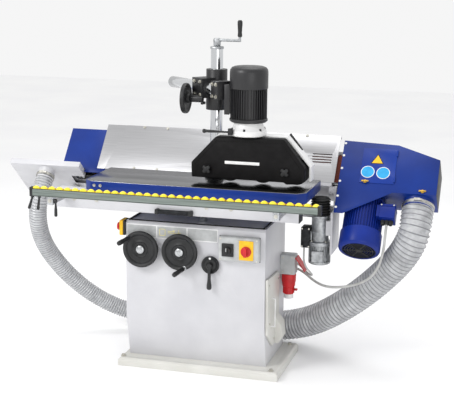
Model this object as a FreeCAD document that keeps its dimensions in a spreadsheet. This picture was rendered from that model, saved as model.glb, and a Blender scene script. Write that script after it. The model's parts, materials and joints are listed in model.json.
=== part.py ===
import FreeCAD, Part
import Sketcher
import math
import os
import re

# Edge belt sander with a tilting, oscillating belt unit, a power feeder and two dust ducts.
# Frame: X to the right along the machine, Y to the back, Z up.
# The origin is on the floor, under the middle of the base plate. Lengths are in millimetres.

SIZES = {
    # base and cabinet
    "base_left": 393, "base_right": 393, "base_front": 219, "base_rear": 250,
    "base_thick": 40, "base_bevel": 10, "anchor_radius": 7,
    "cab_left": 360, "cab_right": 320, "cab_front": 185, "cab_rear": 245, "cab_top": 712,
    "cab_sheet": 3, "toe_height": 255, "toe_setback": 45, "crease_drop": 12, "cab_corner": 28,
    "seat_gap": 0.3, "run_gap": 0.05,
    # controls on the front wall
    "control_height": 585, "tilt_wheel_x": -276, "lift_wheel_x": -84, "wheel_radius": 88,
    "wheel_rim": 11, "wheel_standoff": 32, "wheel_shaft": 9, "hub_radius": 19,
    "grip_radius": 11, "grip_long": 74, "clamp_x": 60, "clamp_height": 530, "clamp_radius": 42,
    "clamp_lever_long": 98, "switch_box_left": 106, "switch_box_right": 300,
    "switch_box_low": 562, "switch_box_high": 678, "switch_box_deep": 42,
    "estop_y": -160, "estop_height": 676, "estop_size": 72, "estop_deep": 30,
    "estop_button_radius": 19, "estop_travel": 4,
    # power inlet and side cover on the right wall
    "inlet_front": 122, "inlet_back": 188, "inlet_low": 425, "inlet_high": 523,
    "inlet_deep": 74, "plug_radius": 36, "plug_long": 124, "lid_thick": 5, "lid_barrel": 3.5,
    "cover_thick": 14, "scoop_deep": 50,
    # tilting unit: local frame has its origin on the tilt axis, z up along the belt's width
    "tilt_angle": 40, "pivot_y": 150, "pivot_z": 850, "trunnion_radius": 16,
    "unit_half": 560, "channel_low": 5, "channel_high": 25, "channel_back": 116,
    "guard_left": -595, "guard_right": 570, "guard_slant": 66, "guard_low": 24, "guard_high": 284,
    "guard_face": -35, "guard_sheet": 2, "guard_wing": 33, "slot_wide": 96, "slot_high": 6,
    "slot_pitch": 15, "slot_low": 128, "slot_left": 445,
    "belt_low": 33, "belt_wide": 150, "belt_face": -22, "belt_thick": 1.5, "drum_radius": 60,
    "drive_x": 722, "idler_x": -735, "drum_gap": 3, "drum_shaft": 15,
    "platen_left": -640, "platen_right": 640, "platen_back": 0,
    "frame_left": -655, "frame_right": 640, "frame_back": 78, "frame_wall": 8,
    # drive housing, motor and covers
    "house_left": 596, "house_crease": 857, "house_right": 1058, "house_face": -63,
    "house_back": 108, "house_top": 244, "house_mid": 232, "house_end": 163, "house_low": -25,
    "house_drop": -150, "house_step": 637, "house_sheet": 3,
    "lid_left": 694, "lid_right": 857, "lid_low": 18, "lid_high": 206,
    "motor_radius": 98, "motor_top": -32, "motor_low": -205, "fan_cover_low": -290,
    "spigot_x": 972, "spigot_y": 20, "spigot_radius": 70, "spigot_long": 38,
    "idler_cover_left": -822, "idler_cover_right": -632, "idler_cover_high": 252,
    "idler_cover_back": 106,
    "end_left": -1078, "end_right": -703, "end_front": -94, "end_back": 205, "end_low": -9,
    "end_thick": 29, "end_spigot_x": -893, "end_spigot_y": -38, "end_spigot_radius": 42,
    "end_spigot_long": 52, "knob_x": -772, "knob_y": 105, "knob_radius": 30,
    # frame behind the table
    "beam_front": 150, "beam_back": 226, "beam_high": 50, "bracket_inner": 574,
    "bracket_thick": 12, "bracket_drop": 560,
    # oscillation drive on the right bracket
    "osc_x": 519, "osc_y": 92, "osc_radius": 41, "osc_low": 612, "osc_high": 740,
    "osc_motor_radius": 54, "osc_motor_low": 505, "boot_radius": 47, "boot_high": 826,
    # table, beam, roller rail
    "table_left": -548, "table_right": 512, "table_front": -250, "table_rear": 110,
    "table_top": 905, "table_thick": 50, "table_corner": 38,
    "apron_left": -690, "apron_right": 484, "apron_front": -238, "apron_back": -168,
    "apron_low": 767, "apron_sheet": 4,
    "rail_left": -735, "rail_right": 611, "rail_front": -420, "rail_back": -392,
    "rail_low": 851, "rail_high": 886, "roller_pitch": 38.5, "roller_radius": 18,
    "roller_count": 35, "first_roller": -714, "roller_rise": 880,
    "arm_width": 30, "arm_left_x": -643, "arm_right_x": 420, "arm_back": -110,
    "column_x": -10, "column_y": -85, "lift_radius": 21.5, "lift_bottom": 470,
    # power feeder
    "post_x": 14, "post_y": 48, "post_radius": 29, "post_top": 1515, "foot_radius": 52,
    "foot_high": 60, "crank_height": 1560, "crank_arm": 100,
    "block_low": 1228, "block_high": 1418, "block_radius": 50, "arm_height": 1335,
    "overarm_radius": 27, "overarm_turn": 40, "overarm_back": 290, "overarm_front": 150,
    "wheel_y": -44, "wheel_z": 1285, "reach_wheel_radius": 72, "spindle_radius": 8,
    "head_x": 208, "head_y": -95, "cover_face": -150, "cover_deep": 56, "head_high": 1135,
    "tray_back": -20, "tray_sheet": 9, "lever_x": 142, "lever_y": -166, "lever_end": 18,
    "lever_lift": 10,
    "feed_motor_radius": 88, "feed_motor_low": 1196, "feed_motor_high": 1452,
    "feed_wheel_radius": 58, "feed_wheel_wide": 52, "feed_wheel_x": 276, "feed_axle": 12,
    "feed_wheel_low": 912, "feed_wheel_pitch": 158,
    # ducts and cables
    "large_duct": 75, "small_duct": 45, "duct_wall": 4, "motor_cable": 6, "gear_cable": 4.5,
    "manifold_left": 150, "manifold_front": 262, "manifold_back": 424, "manifold_high": 196,
    "manifold_sheet": 3, "manifold_neck": 45, "outlet_height": 104, "outlet_radius": 75,
    "outlet_long": 60, "large_port_y": 345, "large_port_z": 88, "small_port_y": 332,
    "small_port_z": 80,
}

doc = FreeCAD.newDocument("EdgeSander")
sheet = doc.addObject("Spreadsheet::Sheet", "Sizes")
for row, (alias, value) in enumerate(SIZES.items(), start=1):
    sheet.set(f"A{row}", alias)
    sheet.set(f"B{row}", str(value))
    sheet.setAlias(f"B{row}", alias)
doc.recompute()

pieces = {}
serial = [0]


def name_for(kind):
    """Number the helper features, which need unique names."""
    serial[0] += 1
    return f"{kind}_{serial[0]:03d}"


def expression(text):
    """Point each size's name at its spreadsheet cell."""
    return re.sub(r"[a-z_]{3,}", lambda m: f"Sizes.{m[0]}" if m[0] in SIZES else m[0], str(text))


def bind(item, **properties):
    """Bind properties such as Length or Placement_Base_x to the spreadsheet."""
    for key, text in properties.items():
        item.setExpression(key.replace("_", "."), expression(text))
    return item


def box(x0, x1, y0, y1, z0, z1):
    """A block between two planes on each axis."""
    item = doc.addObject("Part::Box", name_for("Block"))
    bind(item, Length=f"({x1})-({x0})", Width=f"({y1})-({y0})", Height=f"({z1})-({z0})")
    return bind(item, Placement_Base_x=x0, Placement_Base_y=y0, Placement_Base_z=z0)


def rod(axis, a, b, start, end, radius):
    """A round bar along an axis; a and b are its place on the other two, in x, y, z order."""
    item = doc.addObject("Part::Cylinder", name_for("Rod"))
    turns = {"x": FreeCAD.Rotation(FreeCAD.Vector(0, 1, 0), 90),
             "y": FreeCAD.Rotation(FreeCAD.Vector(1, 0, 0), -90),
             "z": FreeCAD.Rotation()}
    item.Placement = FreeCAD.Placement(FreeCAD.Vector(), turns[axis])
    bind(item, Radius=radius, Height=f"({end})-({start})")
    places = {"x": (start, a, b), "y": (a, start, b), "z": (a, b, start)}[axis]
    return bind(item, Placement_Base_x=places[0], Placement_Base_y=places[1],
                Placement_Base_z=places[2])


def cone(a, b, start, end, low_radius, high_radius):
    """An upright cone."""
    item = doc.addObject("Part::Cone", name_for("Cone"))
    bind(item, Radius1=low_radius, Radius2=high_radius, Height=f"({end})-({start})")
    return bind(item, Placement_Base_x=a, Placement_Base_y=b, Placement_Base_z=start)


def ring(a, z, y, radius, thick):
    """A round-section ring that faces along Y."""
    item = doc.addObject("Part::Torus", name_for("Ring"))
    item.Placement = FreeCAD.Placement(FreeCAD.Vector(), FreeCAD.Rotation(FreeCAD.Vector(1, 0, 0), 90))
    bind(item, Radius1=radius, Radius2=thick)
    return bind(item, Placement_Base_x=a, Placement_Base_y=y, Placement_Base_z=z)


def fuse(*items):
    item = doc.addObject("Part::MultiFuse", name_for("Join"))
    item.Shapes = list(items)
    return item


def group(*items):
    item = doc.addObject("Part::Compound", name_for("Group"))
    item.Links = list(items)
    return item


def cut(base, *tools):
    item = doc.addObject("Part::Cut", name_for("Cut"))
    item.Base = base
    item.Tool = tools[0] if len(tools) == 1 else group(*tools)
    return item


def prism(plane, outline, start, end, chamfer=None):
    """A PartDesign body: a closed outline padded along the plane's normal."""
    body = doc.addObject("PartDesign::Body", name_for("Body"))
    sketch = body.newObject("Sketcher::SketchObject", name_for("Outline"))
    origin = [f for f in body.Origin.OriginFeatures if f.Role == f"{plane}_Plane"][0]
    sketch.AttachmentSupport = [(origin, "")]
    sketch.MapMode = "FlatFace"
    offset = f"-({end})" if plane == "XZ" else start
    bind(sketch, AttachmentOffset_Base_z=offset)
    spots = [(value_of(a), value_of(b)) for a, b in outline]
    for index, (a, b) in enumerate(spots):
        c, d = spots[(index + 1) % len(spots)]
        sketch.addGeometry(Part.LineSegment(FreeCAD.Vector(a, b, 0), FreeCAD.Vector(c, d, 0)), False)
    for index, (a, b) in enumerate(outline):
        sketch.addConstraint(Sketcher.Constraint("Coincident", index - 1 if index else len(spots) - 1,
                                                 2, index, 1))
        for kind, text, spot in (("DistanceX", a, spots[index][0]), ("DistanceY", b, spots[index][1])):
            number = sketch.addConstraint(Sketcher.Constraint(kind, index, 1, spot))
            sketch.setExpression(f"Constraints[{number}]", expression(text))
    pad = body.newObject("PartDesign::Pad", name_for("Pad"))
    pad.Profile = sketch
    bind(pad, Length=f"({end})-({start})")
    if chamfer:
        doc.recompute()
        bevel = body.newObject("PartDesign::Chamfer", name_for("Bevel"))
        high = pad.Shape.BoundBox.ZMax
        names = [f"Edge{i + 1}" for i, edge in enumerate(pad.Shape.Edges)
                 if abs(edge.BoundBox.ZMin - high) < 1e-6]
        bevel.Base = (pad, names)
        bind(bevel, Size=chamfer)
        pad.Visibility = False
    return body


def value_of(text):
    """Solve one size expression through a spare cell of the spreadsheet."""
    spare = f"D{len(SIZES) + 5}"
    sheet.set(spare, "=" + re.sub(r"Sizes\.", "", expression(text)))
    sheet.recompute()
    return float(sheet.get(spare))


def piece(label, item, tilted=False, turned=None):
    """Name a finished sub-part, and stand it in the tilting unit's frame where it belongs there."""
    if tilted:
        item = group(item)
        item.Placement = FreeCAD.Placement(FreeCAD.Vector(0, 150, 850),
                                           FreeCAD.Rotation(FreeCAD.Vector(-1, 0, 0), 40))
        bind(item, Placement_Base_y="pivot_y", Placement_Base_z="pivot_z",
             Placement_Rotation_Angle="tilt_angle")
    if turned:
        item = group(item)
        item.Placement = turned
    item.Label = label
    pieces[label] = item
    return item


def turn_about(axis, degrees, x, y, z):
    """A placement that turns a sub-part about its own corner at x, y, z."""
    rotation = FreeCAD.Rotation(FreeCAD.Vector(*axis), degrees)
    return FreeCAD.Placement(FreeCAD.Vector(value_of(x), value_of(y), value_of(z)), rotation)


def hose_path(points):
    """Straight runs joined by tangent arcs, each as large as its two runs allow."""
    spots = [FreeCAD.Vector(*p) for p in points]
    edges = []
    last = spots[0]
    radii = []
    for before, corner, after in zip(spots, spots[1:], spots[2:]):
        run_in, run_out = corner - before, after - corner
        turn = run_in.getAngle(run_out)
        reach = 0.45 * min(run_in.Length, run_out.Length)
        radius = reach / math.tan(turn / 2)
        radii.append(round(radius))
        start = corner - run_in.normalize() * reach
        end = corner + run_out.normalize() * reach
        inward = (end - corner) + (start - corner)
        middle = corner + inward.normalize() * (radius / math.cos(turn / 2) - radius)
        edges.append(Part.LineSegment(last, start).toShape())
        edges.append(Part.Arc(start, middle, end).toShape())
        last = end
    edges.append(Part.LineSegment(last, spots[-1]).toShape())
    return Part.Wire(edges), radii


def hose(points, radius, bore=0):
    """A plain tube along a hose path; its volume is compared with section times length."""
    path, radii = hose_path(points)
    along = FreeCAD.Vector(*points[1]) - FreeCAD.Vector(*points[0])

    def sweep(size):
        circle = Part.Wire([Part.Circle(FreeCAD.Vector(*points[0]), along, size).toShape()])
        return path.makePipeShell([circle], True, False)
    solid = sweep(radius)
    expected = math.pi * radius ** 2 * path.Length
    if abs(solid.Volume / expected - 1) > 0.01:
        raise ValueError("hose volume differs from its section times its length")
    if bore:
        solid = solid.cut(sweep(bore))
    print(f"hose of radius {radius}: length {path.Length:.0f}, bend radii {radii}")
    return solid


def shape_piece(label, shape):
    """A sub-part whose shape is made by code."""
    item = doc.addObject("Part::Feature", name_for("Solid"))
    item.Shape = shape
    item.Label = label
    pieces[label] = item
    return item


# ---------------------------------------------------------------- base and cabinet

base_outline = [("-base_left", "-base_front"), ("base_right", "-base_front"),
                ("base_right", "base_rear"), ("-base_left", "base_rear")]
plate = prism("XY", base_outline, 0, "base_thick", chamfer="base_bevel")
anchor_holes = [rod("z", x, y, -1, "base_thick+1", "anchor_radius")
                for x in ("-base_left+16", "base_right-36") for y in ("-base_front+34", "base_rear-34")]
piece("base_plate", cut(plate, *anchor_holes))


def cabinet_outline(wall):
    """The cabinet's side view, with a set-back toe and a sloping front edge at the top."""
    return [(f"-cab_front+toe_setback+{wall}", "base_thick"),
            (f"-cab_front+{wall}", "toe_height"),
            (f"-cab_front+{wall}", "cab_top-crease_drop"),
            (f"-cab_front+crease_drop+{wall}", f"cab_top-{wall}"),
            (f"cab_rear-{wall}", f"cab_top-{wall}"),
            (f"cab_rear-{wall}", "base_thick")]


def rounded_rear(body, rear, radius):
    """Round the two upright rear corners."""
    doc.recompute()
    edges = [i + 1 for i, edge in enumerate(body.Shape.Edges)
             if abs(edge.BoundBox.YMin - rear) < 0.01 and edge.BoundBox.ZLength > 100]
    item = doc.addObject("Part::Fillet", name_for("Round"))
    item.Base = body
    item.Edges = [(number, radius, radius) for number in edges]
    return item


shell_outer = rounded_rear(prism("YZ", cabinet_outline("0"), "-cab_left", "cab_right"),
                           value_of("cab_rear"), value_of("cab_corner"))
shell_inner = rounded_rear(prism("YZ", cabinet_outline("cab_sheet"), "-cab_left+cab_sheet",
                                 "cab_right-cab_sheet"),
                           value_of("cab_rear-cab_sheet"), value_of("cab_corner-cab_sheet"))
shell_holes = [rod("y", x, "control_height", "-cab_front-5", "-cab_front+10", "wheel_shaft+run_gap")
               for x in ("tilt_wheel_x", "lift_wheel_x")]
shell_holes.append(rod("y", "clamp_x", "clamp_height", "-cab_front-5", "-cab_front+10",
                       "wheel_shaft+run_gap"))
shell_holes.append(rod("z", "column_x", "column_y", "cab_top-20", "cab_top+5", "lift_radius+1"))
piece("cabinet_shell", cut(shell_outer, shell_inner, *shell_holes))

sleeve = fuse(rod("z", "column_x", "column_y", "lift_bottom-40", "cab_top-cab_sheet", "lift_radius+12"),
              rod("z", "column_x", "column_y", "cab_top-cab_sheet-8", "cab_top-cab_sheet",
                  "lift_radius+36"))
piece("lift_sleeve", cut(sleeve, rod("z", "column_x", "column_y", "lift_bottom-60", "cab_top+10",
                                     "lift_radius+run_gap")))

# ---------------------------------------------------------------- controls


def leaning(item, x, z):
    """Stand a piece, drawn along -Y from its own origin, on a wheel's face, leaning to one side."""
    holder = group(item)
    lean = FreeCAD.Rotation(FreeCAD.Vector(0, -1, 0), FreeCAD.Vector(-0.31, -0.93, -0.18))
    holder.Placement = FreeCAD.Placement(FreeCAD.Vector(), lean)
    bind(holder, Placement_Base_x=x, Placement_Base_y="-cab_front-wheel_standoff",
         Placement_Base_z=f"control_height+{z}")
    return holder


def handwheel(x, hand_x, hand_z):
    """A dished handwheel on its shaft, with the leaning pin that its grip turns on."""
    face = "-cab_front-wheel_standoff"
    pin = rod("y", 0, 0, "-grip_long-16", 0, 5)
    return fuse(ring(x, "control_height", face, "wheel_radius-wheel_rim", "wheel_rim"),
                rod("y", x, "control_height", f"{face}-3", f"{face}+5", "wheel_radius-wheel_rim"),
                rod("y", x, "control_height", f"{face}-14", "-cab_front-2", "hub_radius"),
                rod("y", x, "control_height", f"{face}-12", "-cab_front+70", "wheel_shaft"),
                leaning(pin, f"{x}+{hand_x}", hand_z))


def wheel_grip(x, hand_x, hand_z):
    """The turning grip of a handwheel."""
    grip = cut(rod("y", 0, 0, "-grip_long-20", "-wheel_rim-6", "grip_radius"),
               rod("y", 0, 0, "-grip_long-16.5", "-wheel_rim", "5+run_gap"))
    return leaning(grip, f"{x}+{hand_x}", hand_z)


piece("tilt_handwheel", handwheel("tilt_wheel_x", -50, 57))
piece("tilt_wheel_grip", wheel_grip("tilt_wheel_x", -50, 57))
piece("lift_handwheel", handwheel("lift_wheel_x", 28, -72))
piece("lift_wheel_grip", wheel_grip("lift_wheel_x", 28, -72))
piece("clamp_lever", fuse(
    rod("y", "clamp_x", "clamp_height", "-cab_front-20", "-cab_front-2", "clamp_radius"),
    rod("y", "clamp_x", "clamp_height", "-cab_front-34", "-cab_front+40", "wheel_shaft"),
    rod("z", "clamp_x", "-cab_front-28", "clamp_height-clamp_lever_long", "clamp_height", 7),
    rod("z", "clamp_x", "-cab_front-28", "clamp_height-clamp_lever_long-14",
        "clamp_height-clamp_lever_long+12", 12)))

switch_face = "-cab_front-switch_box_deep"
piece("control_box", fuse(
    box("switch_box_left", "switch_box_right", switch_face, "-cab_front", "switch_box_low",
        "switch_box_high"),
    box("switch_box_left+18", "switch_box_left+74", f"{switch_face}-7", switch_face,
        "switch_box_low+24", "switch_box_low+86"),
    box("switch_box_right-94", "switch_box_right-26", f"{switch_face}-5", switch_face,
        "switch_box_low+12", "switch_box_low+104")))
piece("selector_switch", rod("y", "switch_box_left+46", "switch_box_low+55", f"{switch_face}-27",
                             f"{switch_face}-7-seat_gap", 18))
piece("main_switch_knob", fuse(
    rod("y", "switch_box_right-60", "switch_box_low+54", f"{switch_face}-13",
        f"{switch_face}-5-seat_gap", 25),
    box("switch_box_right-67", "switch_box_right-53", f"{switch_face}-30", f"{switch_face}-12",
        "switch_box_low+32", "switch_box_low+76")))

estop_face = "-cab_left-estop_deep"
piece("estop_box", cut(
    box(estop_face, "-cab_left", "estop_y-estop_size/2", "estop_y+estop_size/2",
        "estop_height-estop_size/2", "estop_height+estop_size/2"),
    rod("x", "estop_y", "estop_height", f"{estop_face}-5", f"{estop_face}+24", "8+run_gap")))
piece("estop_button", fuse(
    rod("x", "estop_y", "estop_height", f"{estop_face}-22", f"{estop_face}-estop_travel-3",
        "estop_button_radius"),
    rod("x", "estop_y", "estop_height", f"{estop_face}-22", f"{estop_face}+16", 8)))

# ---------------------------------------------------------------- right wall

inlet_x = "cab_right+inlet_deep"
plug_x = "cab_right+inlet_deep-plug_radius"
plug_y = "(inlet_front+inlet_back)/2"
piece("inlet_box", box("cab_right", inlet_x, "inlet_front", "inlet_back", "inlet_low", "inlet_high"))
piece("power_plug", fuse(
    cone(plug_x, plug_y, "inlet_low-plug_long+18", "inlet_low-seat_gap", "plug_radius-9", "plug_radius"),
    rod("z", plug_x, plug_y, "inlet_low-plug_long", "inlet_low-plug_long+20", "plug_radius-13")))
lid = fuse(box("-lid_thick/2", "lid_thick/2", 0, "inlet_back-inlet_front-6", "-plug_radius*2-6", 0),
           rod("y", 0, 0, 0, "inlet_back-inlet_front-6", "lid_barrel"))
piece("inlet_lid", lid, turned=turn_about((0, 1, 0), -35, f"{inlet_x}+lid_barrel+seat_gap",
                                          "inlet_front+3", "inlet_high-14"))
cover_outline = [("-cab_front+5", 475), (50, 462), (62, 290), (62, 120), (-60, 120),
                 ("-cab_front+15", 205)]
scoop_outline = [("cab_right+cover_thick-1", 250), ("cab_right+scoop_deep-8", 218),
                 ("cab_right+scoop_deep", 150), ("cab_right+scoop_deep-20", 120),
                 ("cab_right+cover_thick-1", 120)]
piece("side_cover", fuse(prism("YZ", cover_outline, "cab_right", "cab_right+cover_thick"),
                         prism("XZ", scoop_outline, -20, 62)))

# ---------------------------------------------------------------- frame behind the table

beam_top = "cab_top+beam_high"
piece("rear_beam", cut(
    box("-bracket_inner", "bracket_inner", "beam_front", "beam_back", "cab_top", beam_top),
    box("-bracket_inner-1", "bracket_inner+1", "beam_front+6", "beam_back-6", "cab_top+6",
        f"{beam_top}-6")))


def trunnion_bracket(inner, outer, low, front):
    """A bearing plate: a boss round the tilt axis, a neck, and a foot against the beam's end."""
    plate = fuse(box(inner, outer, front, "beam_back", low, beam_top),
                 box(inner, outer, "pivot_y-28", "pivot_y+28", f"{beam_top}-20", "pivot_z"),
                 rod("x", "pivot_y", "pivot_z", inner, outer, "trunnion_radius+8"))
    return cut(plate, rod("x", "pivot_y", "pivot_z", f"{inner}-1", f"{outer}+1",
                          "trunnion_radius+run_gap"))


right_plate = trunnion_bracket("bracket_inner", "bracket_inner+bracket_thick", "bracket_drop",
                               "osc_y-40")
left_plate = trunnion_bracket("-bracket_inner-bracket_thick", "-bracket_inner", "cab_top", "beam_front")
saddle = cut(box("osc_x+osc_radius-8", "bracket_inner", "osc_y-36", "osc_y+36", "osc_low+38",
                 "osc_high-20"),
             rod("z", "osc_x", "osc_y", "osc_low", "osc_high", "osc_radius+seat_gap"))
piece("trunnion_brackets", group(fuse(right_plate, saddle), left_plate))

terminal_box = box("osc_x-osc_radius-46", "osc_x-osc_radius-1", "osc_y-32", "osc_y+36", "osc_low-30",
                   "osc_low+70")
piece("gear_motor", fuse(
    rod("z", "osc_x", "osc_y", "osc_motor_low", "osc_low-10", "osc_motor_radius-1"),
    rod("z", "osc_x", "osc_y", "osc_low-12", "osc_low+4", "osc_motor_radius"),
    rod("z", "osc_x", "osc_y", "osc_low", "osc_high", "osc_radius"),
    box("osc_x-osc_radius-4", "osc_x", "osc_y-20", "osc_y+20", "osc_low+6", "osc_low+50"),
    terminal_box))
piece("gear_bellows", cut(
    rod("z", "osc_x", "osc_y", "osc_high", "boot_high", "boot_radius"),
    rod("z", "osc_x", "osc_y", "osc_high+4", "boot_high-4", "boot_radius-4")))

# ---------------------------------------------------------------- table and roller rail

table_low = "table_top-table_thick"
table_outline = [("table_left+table_corner", "table_front"), ("table_right-table_corner", "table_front"),
                 ("table_right", "table_front+table_corner"), ("table_right", "table_rear"),
                 ("table_left", "table_rear"), ("table_left", "table_front+table_corner")]
table_pockets = [box("table_left+16", "column_x-70", "table_front+60", "table_rear-14",
                     f"{table_low}-1", "table_top-16"),
                 box("column_x+110", "table_right-16", "table_front+60", "table_rear-14",
                     f"{table_low}-1", "table_top-16")]
piece("table_top", cut(prism("XY", table_outline, table_low, "table_top"), *table_pockets))

arm_low, arm_high = "rail_low-34", "rail_low-4"
apron = cut(
    box("apron_left", "apron_right", "apron_front", "apron_back", "apron_low", table_low),
    box("apron_left-1", "apron_right+1", "apron_front+apron_sheet", "apron_back+1",
        "apron_low+apron_sheet", f"{table_low}-apron_sheet"),
    *[box(f"{x}-arm_width/2-0.5", f"{x}+arm_width/2+0.5", "apron_front-1", "apron_front+10",
          f"{arm_low}-0.5", f"{arm_high}+0.5") for x in ("arm_left_x", "arm_right_x")])
piece("table_apron", apron)
piece("lift_column", fuse(
    rod("z", "column_x", "column_y", "lift_bottom", f"{table_low}-4", "lift_radius"),
    rod("z", "column_x", "column_y", f"{table_low}-10", table_low, "lift_radius+26")))

groove_front, groove_back = "rail_front+3", "rail_back-3"
piece("roller_rail", cut(
    box("rail_left", "rail_right", "rail_front", "rail_back", "rail_low", "rail_high"),
    box("rail_left-1", "rail_right+1", groove_front, groove_back,
        "roller_rise-roller_radius-1", "rail_high+1")))
rollers = []
for number in range(int(value_of("roller_count"))):
    along = (f"first_roller+{number}*roller_pitch", "roller_rise")
    rollers.append(fuse(rod("y", *along, f"{groove_front}+0.5", f"{groove_back}-0.5", "roller_radius"),
                        rod("y", *along, groove_front, groove_back, 3)))
piece("rollers", group(*rollers))
arms = [fuse(box(f"{x}-arm_width/2", f"{x}+arm_width/2", "rail_back-2", "arm_back", arm_low, arm_high),
             box(f"{x}-arm_width/2", f"{x}+arm_width/2", "rail_front+2", "rail_back+4",
                 f"{arm_low}-4", "rail_low"))
        for x in ("arm_left_x", "arm_right_x")]
piece("rail_arms", group(*arms))
lever_x = "arm_left_x+arm_width/2"
piece("rail_lever", fuse(
    rod("x", "rail_front+14", f"{arm_low}+14", f"{lever_x}+seat_gap", f"{lever_x}+14", 10),
    rod("z", f"{lever_x}+9", "rail_front+14", f"{arm_low}-52", f"{arm_low}+14", 4),
    rod("z", f"{lever_x}+9", "rail_front+14", f"{arm_low}-58", f"{arm_low}-14", 7)))

# ---------------------------------------------------------------- tilting unit

drum_y = "belt_face+belt_thick+seat_gap+drum_radius"
beam_low_v, beam_high_v = "belt_low+belt_wide+26", "belt_low+belt_wide+45"
tilt_parts = [
    box("-unit_half", "unit_half", "guard_face+guard_sheet", "channel_back", "channel_low",
        "channel_high"),
    box("idler_cover_left+12", "house_crease-8", "20", "60", beam_low_v, beam_high_v),
    box("idler_cover_left+12", "idler_cover_right-10", "30", "50", beam_high_v,
        "idler_cover_high-house_sheet"),
    box("house_left+100", "house_left+150", "house_face+house_sheet", "22", beam_low_v, beam_high_v)]
for x in ("-420", "0", "420"):
    tilt_parts.append(box(f"{x}-15", f"{x}+15", "channel_back-12", "channel_back", "channel_low",
                          beam_high_v))
    tilt_parts.append(box(f"{x}-15", f"{x}+15", "56", "channel_back", beam_low_v, beam_high_v))
    tilt_parts.append(box(f"{x}-12", f"{x}+12", "guard_face+guard_sheet",
                          "guard_face+guard_sheet+4", "channel_low", "guard_low+36"))
for x in ("-350", "350"):
    tilt_parts.append(rod("z", x, "39", "channel_high-2", "channel_high+70", 15))
for inner, outer in (("unit_half-12", "unit_half"), ("-unit_half", "-unit_half+12")):
    tilt_parts.append(rod("x", 0, 0, inner, outer, "trunnion_radius+8"))
    tilt_parts.append(box(inner, outer, "-trunnion_radius-8", "trunnion_radius+8", 0, "channel_high"))
tilt_parts.append(rod("x", 0, 0, "unit_half-1", "bracket_inner+bracket_thick+3", "trunnion_radius"))
tilt_parts.append(rod("x", 0, 0, "-bracket_inner-bracket_thick-3", "-unit_half+1", "trunnion_radius"))
tilt_parts.append(rod("x", 0, 0, "unit_half-1", "bracket_inner-seat_gap", "trunnion_radius+6"))
tilt_parts.append(rod("x", 0, 0, "-bracket_inner+seat_gap", "-unit_half+1", "trunnion_radius+6"))
piece("tilt_frame", fuse(*tilt_parts), tilted=True)

guard_outline = [("guard_left", "guard_low"), ("guard_right", "guard_low"),
                 ("guard_right", "guard_high"), ("guard_left+guard_slant", "guard_high")]
wing_outline = [("guard_left-guard_wing-6", "guard_low"), ("guard_left+14", "guard_low"),
                ("guard_left+guard_slant+14", "guard_high"), ("guard_left-guard_wing-6", "guard_high")]
guard = fuse(prism("XZ", guard_outline, "guard_face", "guard_face+guard_sheet"),
             prism("XZ", wing_outline, "guard_face+guard_sheet", "guard_face+2*guard_sheet"),
             box("guard_left+guard_slant", "guard_right", "guard_face", "guard_face+30",
                 "guard_high-guard_sheet", "guard_high"))
slots = [box("slot_left", "slot_left+slot_wide", "guard_face-1", "guard_face+guard_sheet+1",
             f"slot_low+{row}*slot_pitch", f"slot_low+{row}*slot_pitch+slot_high") for row in range(4)]
piece("guard_panel", cut(guard, *slots), tilted=True)

house_outline = [("house_left", "house_top"), ("house_crease", "house_mid"), ("house_right", "house_end"),
                 ("house_right", "house_low"), ("house_left", "house_low")]
wall = "house_sheet"
hollow_outline = [("house_left-5", f"house_top-{wall}"), ("house_crease", f"house_mid-{wall}"),
                  (f"house_right-{wall}", f"house_end-{wall}"),
                  (f"house_right-{wall}", f"house_low+{wall}"), ("house_left-5", f"house_low+{wall}")]
skirt_outline = [("house_left", "house_low+5"), ("house_crease", "house_low+5"),
                 ("house_crease", "house_low"), ("house_step", "house_drop"), ("house_left", "house_drop")]
housing = fuse(
    cut(prism("XZ", house_outline, "house_face", "house_back"),
        prism("XZ", hollow_outline, f"house_face+{wall}", f"house_back-{wall}"),
        rod("z", "drive_x", drum_y, "house_low-1", "house_low+5", "drum_shaft+8"),
        rod("z", "spigot_x", "spigot_y", "house_low-1", "house_low+5", "spigot_radius-3")),
    prism("XZ", skirt_outline, "house_face", f"house_face+{wall}"),
    cut(rod("z", "spigot_x", "spigot_y", "house_low-spigot_long", "house_low+1", "spigot_radius"),
        rod("z", "spigot_x", "spigot_y", "house_low-spigot_long-1", "house_low+2", "spigot_radius-3")))
piece("drive_housing", housing, tilted=True)
piece("access_lid", fuse(
    box("lid_left", "lid_right", "house_face-3-seat_gap", "house_face-seat_gap", "lid_low", "lid_high"),
    *[rod("z", "lid_right", "house_face-lid_barrel-seat_gap", low, f"{low}+30", "lid_barrel")
      for low in ("lid_low+8", "lid_high-38")]), tilted=True)
motor = fuse(
    rod("z", "drive_x", drum_y, "motor_low", "motor_top", "motor_radius-6"),
    rod("z", "drive_x", drum_y, "motor_top-4", "house_low", "motor_radius-18"),
    rod("z", "drive_x", drum_y, "fan_cover_low", "motor_low+4", "motor_radius"),
    box("drive_x+motor_radius-26", "drive_x+motor_radius+56", "-42", "38", "motor_top-113",
        "motor_top-43"))
piece("main_motor", cut(motor, rod("z", "drive_x", drum_y, "motor_top-50", "motor_top+20",
                                   "drum_shaft-3+run_gap")), tilted=True)

cover_low = "end_low+end_thick+seat_gap"
cover_face = "guard_face+2*guard_sheet"
idler_cover = fuse(
    cut(box("idler_cover_left", "idler_cover_right", cover_face, "idler_cover_back", cover_low,
            "idler_cover_high"),
        box("idler_cover_left+3", "idler_cover_right+5", f"{cover_face}+3", "idler_cover_back-3",
            f"{cover_low}-5", "idler_cover_high-house_sheet")),
    box("end_right+4", "guard_left+5", cover_face, f"{cover_face}+3", 0, f"{cover_low}+20"))
piece("idler_cover", idler_cover, tilted=True)

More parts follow.
